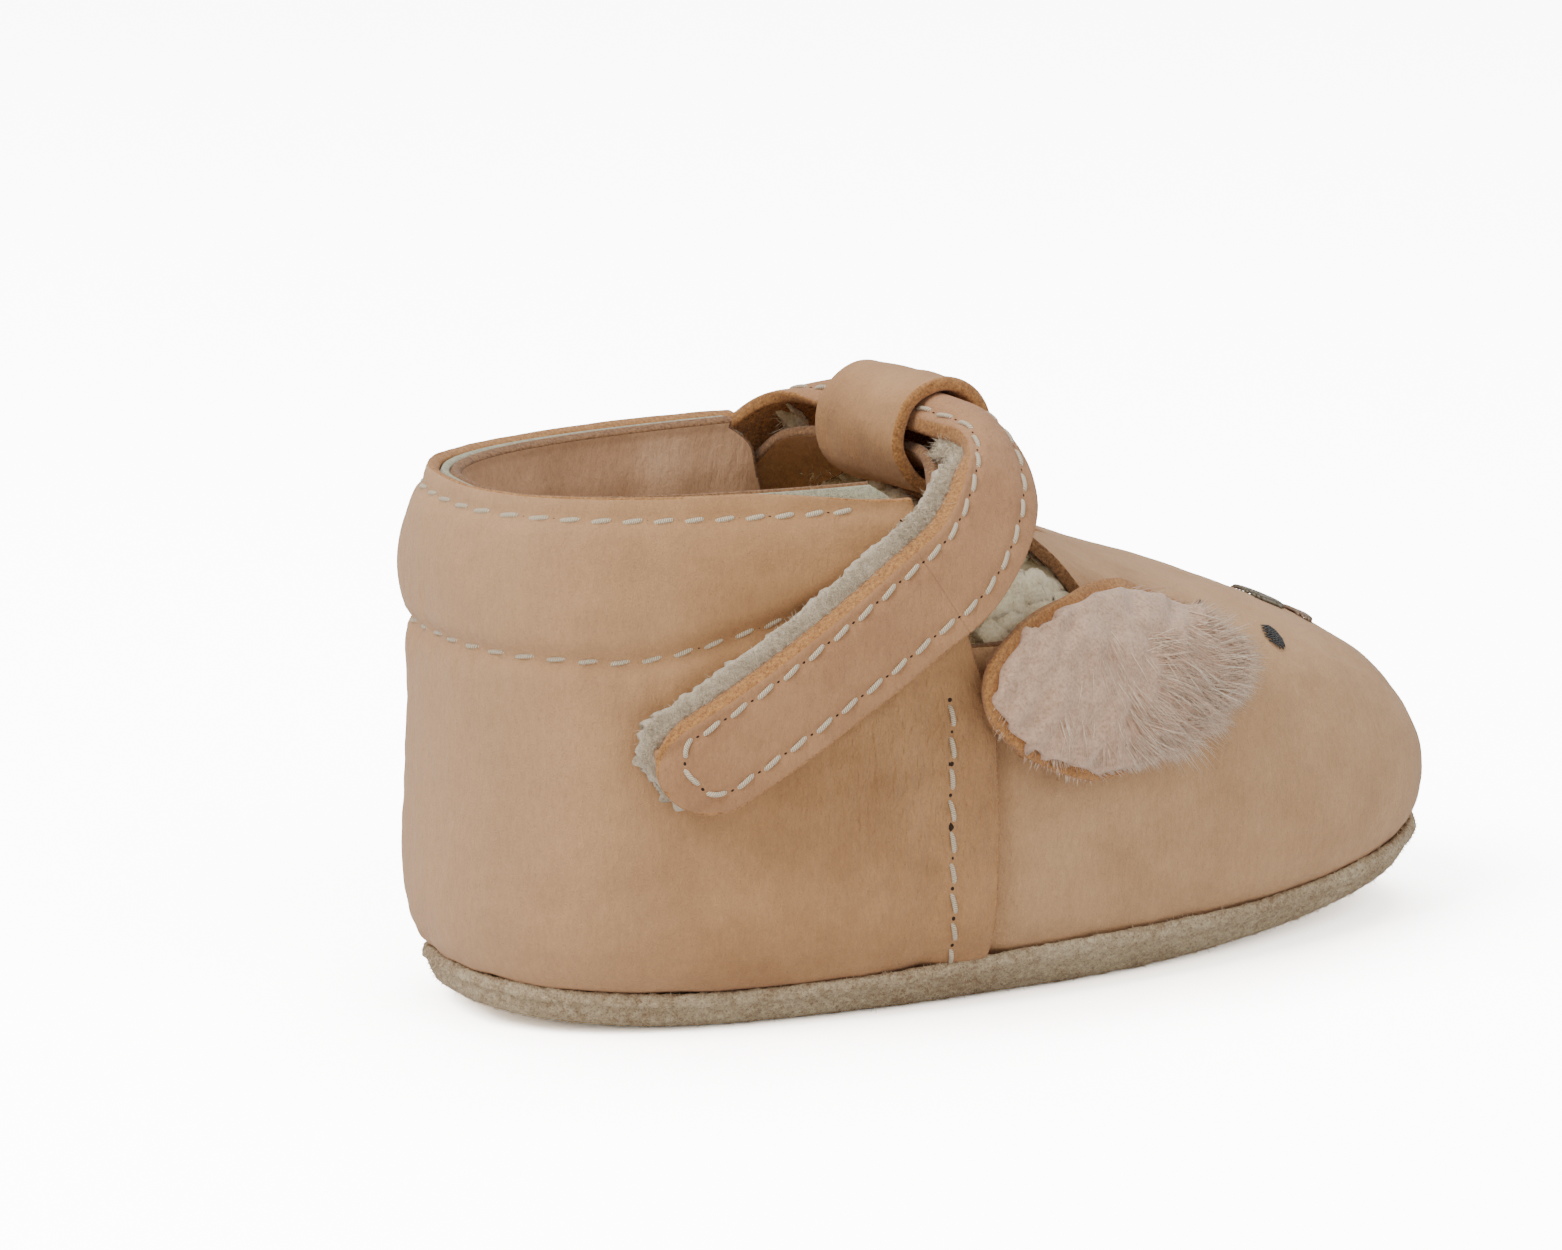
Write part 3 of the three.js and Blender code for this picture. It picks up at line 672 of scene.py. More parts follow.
u, v = steps(380, 0.003)[None, :], steps(110, 0.008)[:, None]
a = mix(-91.2, 91.2, u) + 0 * v
s = mix(UNDERLAP, throat(a), v)
face = vamp_face(a, s)
instep = bell((face[..., 0] - 6) / 9, 1) * bell((face[..., 2] - 34) / 10, 1)
toe_raw = [leather_toe_painted_light, lining_raw, leather_raw]
vamp = sheet("vamp_leather", face, LEATHER, toe_raw, crease=0.12 + 0.5 * instep)
settle(vamp, "shoe", ["vamp"])

# %% [markdown]
# ## Sole
# A suede sole turns up round the foot and ends in a soft thick rim. Its underside and its
# bend are the lower edge of the upper, moved outwards along its own normal. The lines of the
# rim follow the wall. A smooth profile runs through them all.

# %% The sole


def spline(points, t):
    """Catmull-Rom curve through points, centripetal: the knots are spaced by the square root
    of the distance, and each span is a Hermite cubic. t runs from 0 to 1 over all the spans."""
    p = np.asarray(points, float)
    p = np.concatenate([[2 * p[0] - p[1]], p, [2 * p[-1] - p[-2]]])
    t = np.clip(np.asarray(t, float), 0, 1) * (len(p) - 3)
    i = np.minimum(t.astype(int), len(p) - 4)
    w = (t - i)[..., None]
    q = [p[i + k] for k in range(4)]
    gaps = [np.linalg.norm(q[k + 1] - q[k], axis=-1, keepdims=True) for k in range(3)]
    d = [np.maximum(gap, 1e-9) ** 0.5 for gap in gaps]
    m1 = (q[1] - q[0]) / d[0] - (q[2] - q[0]) / (d[0] + d[1]) + (q[2] - q[1]) / d[1]
    m2 = (q[2] - q[1]) / d[1] - (q[3] - q[1]) / (d[1] + d[2]) + (q[3] - q[2]) / d[2]
    m1, m2 = m1 * d[1], m2 * d[1]
    c2, c3 = -3 * q[1] + 3 * q[2] - 2 * m1 - m2, 2 * q[1] - 2 * q[2] + m1 + m2
    return q[1] + w * (m1 + w * (c2 + w * c3))


def outline(t, grow, z, k=1.0):
    """Upper's lower edge at turn t, moved out by `grow`, or drawn in to a share k of itself."""
    p, q = surface(360 * t, 0.0), surface(360 * t + 0.5, 0.0)
    side = unit(np.stack([q[..., 1] - p[..., 1], p[..., 0] - q[..., 0]], -1))
    x = (p[..., 0] + side[..., 0] * grow) * k
    y = mix(swing(x) * k, p[..., 1] + side[..., 1] * grow, k)
    return np.stack([x, y, z + rise(x)], -1)


def plate(profile, turns, steps_each, lumps=0.0, size=1.2, seed=5):
    """Closed plate through rings of points: each ring is an outline at (grow, height, share)
    or a line round the wall itself, given as a function of the turn."""
    t = np.arange(turns) / turns
    stops = [p(t) if callable(p) else outline(t, *p) for p in profile]
    places = np.linspace(0, 1, steps_each * (len(stops) - 1) + 1)
    rings = spline(np.reshape(stops, (len(stops), -1)), places).reshape(-1, turns, 3)
    if lumps:
        wrapped = np.concatenate([rings, rings[:, :1]], 1)
        out = normals_of(wrapped)[:, :-1]
        field = ripple(rings[..., 0] + rings[..., 2], rings[..., 1] - rings[..., 2], size, seed)
        free = (rings[..., 2] > rise(rings[..., 0]) + 0.3)[..., None]
        rings = rings + out * field[..., None] * lumps * free
    n = len(rings)
    cells = grid_faces(n, turns, wrap=True)
    first, end = np.arange(turns), (n - 1) * turns + np.arange(turns)
    middle = n * turns
    caps = np.concatenate([np.stack([np.roll(first, -1), first, np.full(turns, middle)], -1),
                           np.stack([end, np.roll(end, -1), np.full(turns, middle + 1)], -1)])
    points = np.concatenate([rings.reshape(-1, 3), rings[[0, -1]].mean(1)])
    return points, [cells, caps], rings


SOLE = 2.2


def on_wall(share, off):
    """Ring round the wall: at a share of the height that the sole is turned up to."""
    def ring(t):
        x = surface(360 * t, 0.0)[..., 0]
        up = 0.022 + 0.07 * bell(x - 10, 34) + 0.012 * ease((x - 30) / 20)
        return last(360 * t, up * share + 0.006, off + 0 * t)
    return ring


sole_profile = [(-4, 0, 0.1), (-4, 0, 0.5), (-4, 0, 1), (-1.7, 0.05, 1), (0.5, 0.9, 1),
                on_wall(0.45, 1.6), on_wall(0.85, 1.5), on_wall(1.05, 1.0), on_wall(1.08, 0.45),
                on_wall(0.6, 0.05), (-1.6, SOLE, 1), (-4, SOLE, 0.5)]
points, faces, sole_rings = plate(sole_profile, 480, 6, 0.09, 1.0)
RIM_RINGS = slice(22, 52)
outsole = make("sole", points, faces, sole_suede)
settle(outsole, "shoe", ["outsole"])

# %% Insole
BED = SOLE + GAP
foam_profile = [(-3.2, BED, 0.3), (-3.2, BED, 1), (-2.4, BED + 0.8, 1), (-2.8, BED + 1.7, 1),
                (-3.2, BED + 1.7, 0.3)]
points, faces, _ = plate(foam_profile, 120, 5)
insole_foam = make("bed_foam", points, faces, foam)
settle(insole_foam, "shoe", ["insole_foam"])
fleece_profile = [(-3, BED + 2, 0.05), (-3, BED + 2, 1), (-2.2, BED + 3, 1), (-2.8, BED + 3.9, 1)]
fleece_profile += [(-3.4, BED + 4.2, share) for share in (0.85, 0.6, 0.35, 0.05)]
points, faces, _ = plate(fleece_profile, 420, 14, 0.25, 4.2, 31)
insole_fleece = make("bed_fleece", points, faces, fleece)
settle(insole_fleece, "shoe", ["insole_fleece"])

# %% [markdown]
# ## Inside the shoe
# The collar is a sandwich: the outer leather, a thin foam that shows as a pale line at the
# topline, and a smooth lining leather with a fuzzy cut edge. Below and before it the shoe is
# lined with cream pile.

# %% Collar foam and lining


def pad(s):
    """Thickness of the collar's padding: thin at the topline, thickest in the middle."""
    return mix(PAD_MIN, PAD_MAX, np.sin(np.pi * np.clip((s - 0.66) / 0.34, 0, 1)) ** 0.8)


def behind(back):
    """The two front edges of a lining, set back from the quarter's."""
    return (lambda s: front_edge(s) + back), (lambda s: 360 - front_edge(s) - back)


a, s = shell_grid(*behind(1.5), COLLAR_S, 1.004, 160, 20)
face = last(a, s, -LEATHER - 0.1)
padding = mix(0.9, pad(s) + 0.6, ease((1.0 - s) / 0.08))
collar_foam = sheet("collar_padding", face, padding, [foam], rim=0.3)
settle(collar_foam, "shoe", ["collar_foam"])


LINING = 1.3


def lining_face(a, s):
    """Inner face of the collar lining, which wrinkles in soft folds across the collar."""
    girth = a * INNER_GIRTH_MM
    fold = ripple(girth + 6 * s, s * 12, 7.5, 41) * 0.3 + ripple(girth, s * 40, 15, 42) * 0.25
    fold = fold * np.sin(np.pi * np.clip((s - 0.62) / 0.38, 0, 1))
    thin = 0.5 * (1 - ease((1.0 - s) / 0.08))
    return last(a, s, thin - LEATHER - LINING_GAP - pad(s) - LINING + fold)


a, s = shell_grid(*behind(1.3), 0.62, 1.014, 260, 40)
face = lining_face(a, s)[:, ::-1]
lining_edges = [leather_lining, lining_raw, lining_raw]
collar_lining = sheet("collar_leather", face, LINING, lining_edges, crease=0.3)
settle(collar_lining, "shoe", ["collar_lining"])

# %% Fleece linings


def fleece_face(a, s, seed):
    """Inner face of the pile: tufts raise it by up to most of a millimetre."""
    girth, height = a * INNER_GIRTH_MM, s * INNER_WALL_MM
    tufts = ripple(girth, height, 4.2, seed) * 0.3 + ripple(girth, height, 2.6, seed + 1) * 0.12
    return last(a, s, -LEATHER - 0.35 - FLEECE - np.clip(tufts, -0.6, 0.8))


a, s = shell_grid(*behind(1.0), 0.08, 0.66, 300, 60)
heel_pile = fleece_face(a, s, 51)[:, ::-1]
quarter_fleece = sheet("heel_fleece", heel_pile, FLEECE, [fleece], rim=1.1, squareness=2)
settle(quarter_fleece, "shoe", ["quarter_fleece"])
u, v = steps(300, 0.004)[None, :], steps(80, 0.012)[:, None]
a = mix(-88.5, 88.5, u) + 0 * v
inner_rise = np.where(a > 0, 0.31 * ease((a - 42) / 14), 0.16 * ease((-a - 50) / 16))
s = mix(0.08, throat(a) - 0.03 + inner_rise, v)
toe_pile = fleece_face(a, s, 53)[:, ::-1]
vamp_fleece = sheet("toe_fleece", toe_pile, FLEECE, [fleece], rim=1.1, squareness=2)
settle(vamp_fleece, "shoe", ["vamp_fleece"])

# %% [markdown]
# ## Tab, straps and tapes
# The tab is leather rolled into a tube across the instep. The closing strap starts on the
# inner side, runs through the tab, and comes down the outer wall at a slant. A shorter band
# under it closes the ankle. Each band is three long curves, front edge, middle and rear edge,
# with a parabola across them.

# %% Bands
LOOP_R, LOOP_WALL, LOOP_HALF = 6.4, 1.5, 8
LOOP_C = np.array([-3.7, -1, 58.8])
AXIS = unit(np.array([0.106, -0.993, 0.044]))
FORE = unit(np.cross([0, 0, 1], AXIS))
LIFT = unit(np.cross(AXIS, FORE))
STRAP_W, STRAP_T, TAPE_T, TAPE_STEP, STRAP_LEN = 10.8, 1.4, 1.0, 1.4, 41
OUTER = GAP * 3 + TAPE_T * 2 + STRAP_T
CUP = LOOP_R - LOOP_WALL - 2 * GAP
MOUTH = LOOP_HALF + 1
SHIFT = LOOP_C[0] + 1.6


def round_loop(r, along, turn):
    """Point of the tab at radius r: turn 0 is its top, a quarter turn its front."""
    r, along, turn = (np.asarray(x, float)[..., None] for x in np.broadcast_arrays(r, along, turn))
    return LOOP_C + AXIS * along + FORE * r * np.sin(turn) + LIFT * r * np.cos(turn)


def cupped(along, below):
    """Three points across a band curled inside the tab, against its top or its bottom."""
    half, start, way = STRAP_W / 2 / CUP, (np.pi if below else 0), (-1 if below else 1)
    return round_loop(CUP, along, start + way * np.array([half, 0, -half]))


def down_strap(d, q, off):
    """Wall point d millimetres down the strap's slanting line and q across it."""
    x = STRAP_RUN_FROM[0] + STRAP_RUN[0] * d - STRAP_RUN[1] * q
    return wall(x, STRAP_RUN_FROM[1] + STRAP_RUN[1] * d + STRAP_RUN[0] * q, off)


def wall_section(d):
    """Three points across the strap on the wall."""
    return down_strap(d, np.array([1, 0, -1]) * STRAP_W / 2, OUTER)


def band(stations):
    """Point of a band at t along it and v across it (1 front, -1 rear edge), moved by off
    along its normal: a parabola through the three rails, each a smooth curve."""
    rails = np.moveaxis(np.array(stations, float), 1, 0)

    def flat(t, v):
        a, b, c = (spline(r, t) for r in rails)
        v = v[..., None]
        return a * v * (v + 1) / 2 + b * (1 - v * v) + c * v * (v - 1) / 2

    def place(t, v, off=0.0):
        t, v, off = np.broadcast_arrays(*(np.asarray(x, float) for x in (t, v, off)))
        inside, step = np.clip(t, 0.004, 0.996), 0.004
        along = flat(inside + step, v) - flat(inside - step, v)
        across = flat(t, v + 0.02) - flat(t, v - 0.02)
        return flat(t, v) + unit(np.cross(along, across)) * off[..., None]

    return place


strap = band([
    [[-6.5, 21.4, 50.4], [-11.6, 21.2, 52.4], [-16.8, 20.8, 53.4]],
    [[-6, 19.4, 53.6], [-10.8, 19.4, 56], [-15.8, 19, 56.8]],
    [[-2.6, 14.8, 57], [-7.6, 14.6, 60.2], [-12.2, 14.2, 60.6]],
    *[cupped(d, False) for d in (-MOUTH, 0, MOUTH)],
    [[SHIFT + 4.6, -14.5, 59.4], [SHIFT + 1.2, -15.6, 61.8], [SHIFT - 3.2, -16.4, 60.6]],
    [[SHIFT + 3.8, -22.4, 53.8], [SHIFT - 0.6, -21.9, 57.2], [SHIFT - 4.8, -21.2, 59.6]],
    *[wall_section(d) for d in (2, 10, 18, 26, 34, STRAP_LEN)]])
ankle = band([
    [[-5.6, -21.6, 46.4], [-8.2, -21.4, 50], [-10.8, -20.4, 53.6]],
    [[-1.4, -16.8, 49.4], [-5.2, -16.8, 51.6], [-8.8, -16.4, 55.2]],
    *[cupped(d, True) for d in (MOUTH, 0, -MOUTH)],
    [[-3, 14.6, 50.8], [-7.2, 14.4, 52.6], [-11.4, 14, 55.4]],
    [[-4.8, 18.8, 48], [-8.6, 18.6, 50.2], [-12.6, 18, 52]],
    [[-5.8, 21.4, 44.8], [-9.8, 21.2, 47.4], [-13.8, 20.8, 49.4]]])

# %% The strap
# Two pieces meet half way down the outer wall. Each is given a hinge, but it is not bent.
SPANS = 13
LIFT_T, CURL_T, HALF_T = np.array([6.35, 10.36, 8.56]) / SPANS
TIP_T = 0.84 / SPANS
INSET, BEVEL = 0.6, 0.73


def strap_face(t, v, off=0.0):
    """Outer face of the strap: slightly crowned, pressed in along its two rows of stitches."""
    t, v = np.broadcast_arrays(np.asarray(t, float), np.asarray(v, float))
    press = bell((np.abs(v) - INSET) * STRAP_W / 2, 0.55) * 0.22
    press = press + 0.9 * ease((-v - BEVEL) / (1 - BEVEL)) ** 1.4 * ease((t * SPANS - 4.2) / 1.2)
    wave = ripple(t * 95, v * 5.4, 11, 61) * 0.1
    return strap(t, v, 0.18 * (1 - v ** 2) - press + wave + off)


def tip_shape(t):
    """Half width of the strap, as a share: full, then round at the tip."""
    return np.sqrt(np.maximum(0.0, 1 - np.clip((t - 1) / TIP_T + 1, 0, 1) ** 2.2))


def in_frame(*place):
    return tuple((np.array(place) + CENTRE) * MM)


def along_strap(t0, t1, u, round_tip):
    """Places from t0 to t1. A round tip's columns crowd towards its end."""
    return mix(t0, t1, np.sin(u * np.pi / 2) if round_tip else u)[None, :]


def strap_piece(name, t0, t1, nodes, bend, round_tip=False):
    """Sheet of the strap from t0 to t1."""
    t, v = along_strap(t0, t1, steps(150, 0.004), round_tip), (2 * steps(36, 0.045) - 1)[:, None]
    width = np.maximum(tip_shape(t), 0.02) if round_tip else 1.0
    face = strap_face(t, v * width)
    cut = (v < -BEVEL - 0.03) * ease(t * SPANS - 4.4)
    piece = sheet(name, face, STRAP_T, [leather_strap, leather_raw, leather_raw], 0.5, 3.0,
                  (round_tip, not round_tip), cut, crease=0.3)
    return settle(piece, None, nodes, bend)


LIFT_BEND = ("shoe", "strap_flap", in_frame(-2.4, -13.5, 61), in_frame(-2.6, -22.5, 56))
CURL_BEND = ("strap_flap", "strap_tip", in_frame(-21.8, -29, 40.6), in_frame(-27.6, -29, 36.9))
strap_upper = strap_piece("strap_upper", 0.0, HALF_T, ["strap_root", "strap_flap"], LIFT_BEND)
strap_lower = strap_piece("strap_lower", HALF_T, 1.0, ["strap_tip"], CURL_BEND, True)

u, v = steps(110, 0.006)[None, :], (2 * steps(30, 0.045) - 1)[:, None]
ANKLE_T = 1.3
ankle_raw = [leather_tan, lining_raw, leather_raw]
ankle_band = sheet("ankle_strap", ankle(u, v), ANKLE_T, ankle_raw, crease=0.2)
settle(ankle_band, "shoe", ["ankle_band"])

# %% The rolled tab and the bar into it
turn = np.radians(mix(146.0, -206.0, steps(120, 0.004)))[None, :]
along = (LOOP_HALF * (2 * steps(44, 0.03) - 1))[:, None]
swell = 1 + 0.012 * ripple(turn * 6, along, 7, 71)
roll = round_loop(LOOP_R * swell, along, turn)
strap_loop = sheet("rolled_tab", roll, LOOP_WALL, tan_raw, crease=0.15)
settle(strap_loop, "shoe", ["strap_loop"])

u, v = (2 * steps(40, 0.03) - 1)[None, :], steps(40, 0.01)[:, None]
start = last(u * 17, 0.84 + 0 * u, 0.08)
knee = round_loop(LOOP_R + 1.0, u * -7.6, np.radians(160))
end = round_loop(LOOP_R + 0.9, u * -7.8, np.radians(95))
tangent = last(u * 17, 0.93 + 0 * u, 0.25)
bar_grid = (start * (1 - v[..., None]) ** 3 + 3 * tangent * (v * (1 - v) ** 2)[..., None]
            + 3 * knee * (v * v * (1 - v))[..., None] + end * v[..., None] ** 3)
instep_bar = sheet("instep_bar", bar_grid, 1.1, tan_raw, 0.4, crease=0.2)
settle(instep_bar, "shoe")

# %% Tapes
# The tape under the strap stands out past its rear edge as a fuzzy pale line.
RIDGE = 1.32


def hook_tape(name, t0, t1, nodes, bend, round_tip=False):
    """Tape under the strap, set towards its rear edge."""
    t = along_strap(t0, t1, steps(120, 0.006), round_tip)
    v = mix(-RIDGE, 0.72, steps(20, 0.05))[:, None]
    width = np.maximum(tip_shape(t - 0.012), 0.02) if round_tip else 1.0
    off = -STRAP_T - 0.05 + 0.1 * width * ripple(t * 95, v * 5, 1.5, 81)
    face = strap(t, v * width, off)
    tape_faces.append((name, face, bend))
    piece = sheet(name, face, TAPE_T + 0.35, [tape], 0.6, 2.5, (round_tip, not round_tip))
    return settle(piece, None, nodes, bend)


tape_faces = []
hook_tape("tape_upper", 5.3 / SPANS, HALF_T, ["hook_flap"], LIFT_BEND)
hook_tape("tape_lower", HALF_T, 1.0, ["hook_tip"], CURL_BEND, True)


def wall_tape(u, v, off):
    """Tape sewn on the quarter, along the strap's line and set back up the wall."""
    d = mix(7, 41.5, u)
    width = np.sqrt(np.maximum(0.0, 1 - np.clip((d - 36) / 6, 0, 1) ** 2.2))
    return down_strap(d, v * (STRAP_W / 2 - 0.6) * width - TAPE_STEP, off)


u, v = steps(110, 0.006)[None, :], (2 * steps(20, 0.05) - 1)[:, None]
loop_tape = sheet("wall_tape", wall_tape(u, v, GAP + TAPE_T + 0.1 * ripple(u * 34, v * 5, 1.3, 85)),
                  TAPE_T, [tape], rim=0.5)
settle(loop_tape, "shoe", ["loop_tape"])

# %% [markdown]
# ## Hair, nap and fuzz
# A strand is a thin spindle with three sides that starts in a point under the surface, bends
# as it goes, and ends in a point. Its own map says which strand it is and how far along, so
# the finish can tint each one.

# %% Strands


def strands(name, roots, ways, lengths, widths, bends, material, rings=3):
    """Spindles along p(w) = root + way * length * w + bend * w * w, three-sided, closed."""
    n = len(roots)
    w = np.linspace(0, 1, rings + 2)[None, :, None]
    line = roots[:, None] + ways[:, None] * (lengths[:, None, None] * w) + bends[:, None] * w * w
    along = unit(np.gradient(line, axis=1))
    side = unit(np.cross(along, RNG.normal(size=(n, 1, 3))))
    other = np.cross(along, side)
    body = line[:, 1:-1]
    thick = widths[:, None, None] * np.linspace(1, 0.55, rings)[None, :, None] / 2
    corners = [body + thick * (np.cos(k) * side[:, 1:-1] + np.sin(k) * other[:, 1:-1])
               for k in np.radians([0, 120, 240])]
    points = np.concatenate([np.stack(corners, 2).reshape(n, -1, 3), line[:, [0, -1]]], 1)
    per = rings * 3 + 2
    base = np.arange(n)[:, None, None] * per
    sides = [[r * 3 + k, r * 3 + (k + 1) % 3, r * 3 + 3 + (k + 1) % 3, r * 3 + 3 + k]
             for r in range(rings - 1) for k in range(3)]
    top = (rings - 1) * 3
    ends = [[(k + 1) % 3, k, rings * 3] for k in range(3)]
    ends += [[top + k, top + (k + 1) % 3, rings * 3 + 1] for k in range(3)]
    quads = (np.array(sides)[None] + base).reshape(-1, 4)
    tris = (np.array(ends)[None] + base).reshape(-1, 3)
    level = np.concatenate([np.repeat(np.linspace(0, 1, rings + 2)[1:-1], 3), [0, 1]])
    uv = np.stack([np.repeat(RNG.random(n), per), np.tile(level, n)], -1)
    return make(name, points, [quads, tris], material, uv=uv)


def sown(grid, n, seed, first=0.0):
    """n even random places on a grid of points, from that share of its rows on, with their
    normals: a cell is drawn by its area, and the place in it is a mix of its corners."""
    r = np.random.default_rng(seed)
    rows, cols = grid.shape[:2]
    low = int(first * (rows - 1))
    du, dv = np.diff(grid, axis=1)[:-1], np.diff(grid, axis=0)[:, :-1]
    area = np.linalg.norm(np.cross(du, dv), axis=-1)
    area[:low] = 0
    cell = r.choice(area.size, n, p=area.ravel() / area.sum())
    i, j = np.divmod(cell, cols - 1)
    x, y = r.random((2, n, 1))

    def blend(f):
        return mix(mix(f[i, j], f[i, j + 1], x), mix(f[i + 1, j], f[i + 1, j + 1], x), y)

    return blend(grid), unit(blend(normals_of(grid))), r


def nap(name, grid, n, seed, long, thick, material, toss=0.8, bend=None, first=0.0):
    """Short strands on a face, tossed about its normal."""
    root, up, r = sown(grid, n, seed, first)
    way = unit(up + r.normal(0, toss, (n, 3)))
    way = unit(way + up * np.maximum(0, 0.25 - np.sum(way * up, -1))[:, None])
    length = r.uniform(0.6, 1.2, n) * long
    curl = r.normal(0, 0.35, (n, 3)) * length[:, None]
    width = r.uniform(0.7, 1.3, n) * thick
    hair = strands(name, root - up * 0.2, way, length, width, curl, material)
    settle(hair, "shoe", (), bend)


nap("nap_heel", heel_pile, 7000, 101, 1.7, 0.12, fleece_nap, first=0.3)
nap("nap_toe", toe_pile, 9000, 102, 1.8, 0.12, fleece_nap, first=0.45)
sole_rim = np.concatenate([sole_rings, sole_rings[:, :1]], 1)[RIM_RINGS]
nap("nap_sole", sole_rim, 9000, 103, 0.5, 0.1, suede_nap)
for name, face, bend in tape_faces:
    nap("nap_" + name, face[:9], 2600, 104, 0.8, 0.07, tape_nap, toss=0.7, bend=bend)

# %% [markdown]
# ## Ears
# Each ear is a drop of leather, sewn along its upper front edge, that stands off the toe
# towards its lower rear edge. Long soft hair covers it and sweeps down and forward.

# %% Ears
EAR_AT, EAR_HALF, EAR_TURN = np.array([10.4, 33.8]), np.array([18.2, 9.2]), -0.12
HAIRS, LOCKS = 10500, 997
BOTH_SIDES = (("right", -1), ("left", 1))


def patch(at, turned, p, q):
    """Place (x, z) on the wall of (p, q): millimetres along a patch's own two axes."""
    cs, sn = np.cos(turned), np.sin(turned)
    return at[0] + p * cs - q * sn, at[1] + p * sn + q * cs


def on_ear(p, q, off, side):
    return wall(*patch(EAR_AT, EAR_TURN, p, q), off, side)


def disc_grid(half, grow=0.0, n=40):
    """Square grid bent into an ellipse: each coordinate shrinks as the other grows."""
    x, y = np.meshgrid(2 * steps(n, 0.02) - 1, 2 * steps(n, 0.02) - 1)
    wide, high = half[0] + grow, half[1] + grow
    return x * np.sqrt(1 - y * y / 2) * wide, y * np.sqrt(1 - x * x / 2) * high


def ear_stand(p, q):
    """How far the ear stands off the wall: from its sewn upper front to its free lower rear."""
    return 0.4 + 2.2 * ease((6 - p * 0.6 - q) / 22)


def ear_shape(p, q):
    """The oval drawn out into a drop: it narrows towards the toe, and its tip is raised."""
    forward = ease((p + 5) / 21)
    return p, q * mix(1.06, 0.62, forward) + 1.6 * forward


def scatter(n, seed):
    """Even random points of the unit disc."""
    r = np.random.default_rng(seed)
    radius, turned = np.sqrt(r.random(n)), r.uniform(0, 2 * np.pi, n)
    return radius * np.cos(turned), radius * np.sin(turned), r


def ear(word, side):
    """Leather drop and its hair, on one side of the toe."""
    body = "ear_" + word
    p, q = ear_shape(*disc_grid(EAR_HALF))
    bulge = 1.2 + 0.25 * ripple(p, q, 9, 90)
    face = on_ear(p, q, ear_stand(p, q) + bulge, side)[:, ::-side]
    drop = sheet(body + "_leather", face, 1.2, [leather_raw, leather_raw], rim=0.5)
    settle(drop, body, [body])

    flat_p, flat_q = disc_grid(EAR_HALF, -0.9)
    p, q = ear_shape(flat_p, flat_q)
    round_off = np.hypot(flat_p / EAR_HALF[0], flat_q / EAR_HALF[1])
    top = ear_stand(p, q) + 3.1 - 1.2 * round_off ** 3 + 0.3 * ripple(p, q, 4, 91)
    face = on_ear(p, q, top, side)[:, ::-side]
    skin = sheet(body + "_skin", face, 1.7, [fur_skin], rim=1.2, squareness=2)
    settle(skin, body, [body + "_fur"])

    x, y, r = scatter(HAIRS, 92)
    p, q = ear_shape(x * (EAR_HALF[0] - 0.9), y * (EAR_HALF[1] - 0.9))
    inner = ear_stand(p, q) + 2.3 - 1.2 * np.hypot(x, y) ** 3
    root = on_ear(p, q, inner, side)
    lean = np.radians(mix(-14, -112, ease((7 - p) / 24))) + r.normal(0, 0.13, HAIRS)
    lean += 0.32 * ripple(p, q, 7, 93)
    length = r.uniform(5, 9.5, HAIRS)
    room = mix(1.04, 0.93, ease((0.5 - x) / 1.0))
    across, along = np.cos(lean), np.sin(lean)
    reach = np.hypot(x + across * length / EAR_HALF[0], y + along * length / EAR_HALF[1])
    spare = (room - np.hypot(x, y)) / np.maximum(reach - np.hypot(x, y), 1e-3)
    length *= np.where(reach > room, np.clip(spare, 0.22, 1), 1)
    out = unit(on_ear(p, q, inner + 1, side) - root)
    lie = unit(on_ear(p + across, q + along, inner, side) - root)
    way = unit(lie + out * r.uniform(0.15, 0.42, HAIRS)[:, None])
    bend = lie * (length * 0.1)[:, None] - out * (length * r.uniform(0.12, 0.26, HAIRS))[:, None]
    locks = np.round(np.stack([p, q], -1) / 1.6 + r.normal(0, 0.2, (HAIRS, 2)))
    key = (locks[:, 0] * 73 + locks[:, 1] * 19).astype(int) % LOCKS
    shift = np.random.default_rng(94).normal(0, 0.55, (LOCKS, 3))[key]
    hair = strands(body + "_hair", root - out * 0.4, way, length, r.uniform(0.09, 0.15, HAIRS),
                   bend + shift * length[:, None] / 6, fur)
    settle(hair, body)


fur_skin = pile("fur_skin", rgb(214, 176, 146), rgb(178, 138, 106), 1.4)
for word, side in BOTH_SIDES:
    ear(word, side)

# %% [markdown]
# ## Stitching
# A stitch is a short bowed cord: it comes up out of one needle hole, lies on the leather and
# goes down into the next. Between two stitches a small dark lens is painted shade for the hole.
# All the rows are spaced by walking along a line of points on the leather itself.

# %% Rows of stitches
RINGS, SIDES = 9, 6
SHARE, SLANT, HOLE_R = 0.78, 0.06, 0.62


def cords(centre, across, up, radius, flat=1.0):
    """Rings of points round the middle line of each cord, the faces along them, and the
    number of each cord's first point."""
    k = np.arange(SIDES) / SIDES * 2 * np.pi
    ring = across[:, :, None] * np.cos(k)[:, None] + up[:, :, None] * np.sin(k)[:, None] * flat
    points = (centre[:, :, None] + ring * radius[None, :, None, None]).reshape(-1, 3)
    base = np.arange(len(centre))[:, None, None] * RINGS * SIDES
    return points, (grid_faces(RINGS, SIDES, wrap=True)[None] + base).reshape(-1, 4), base


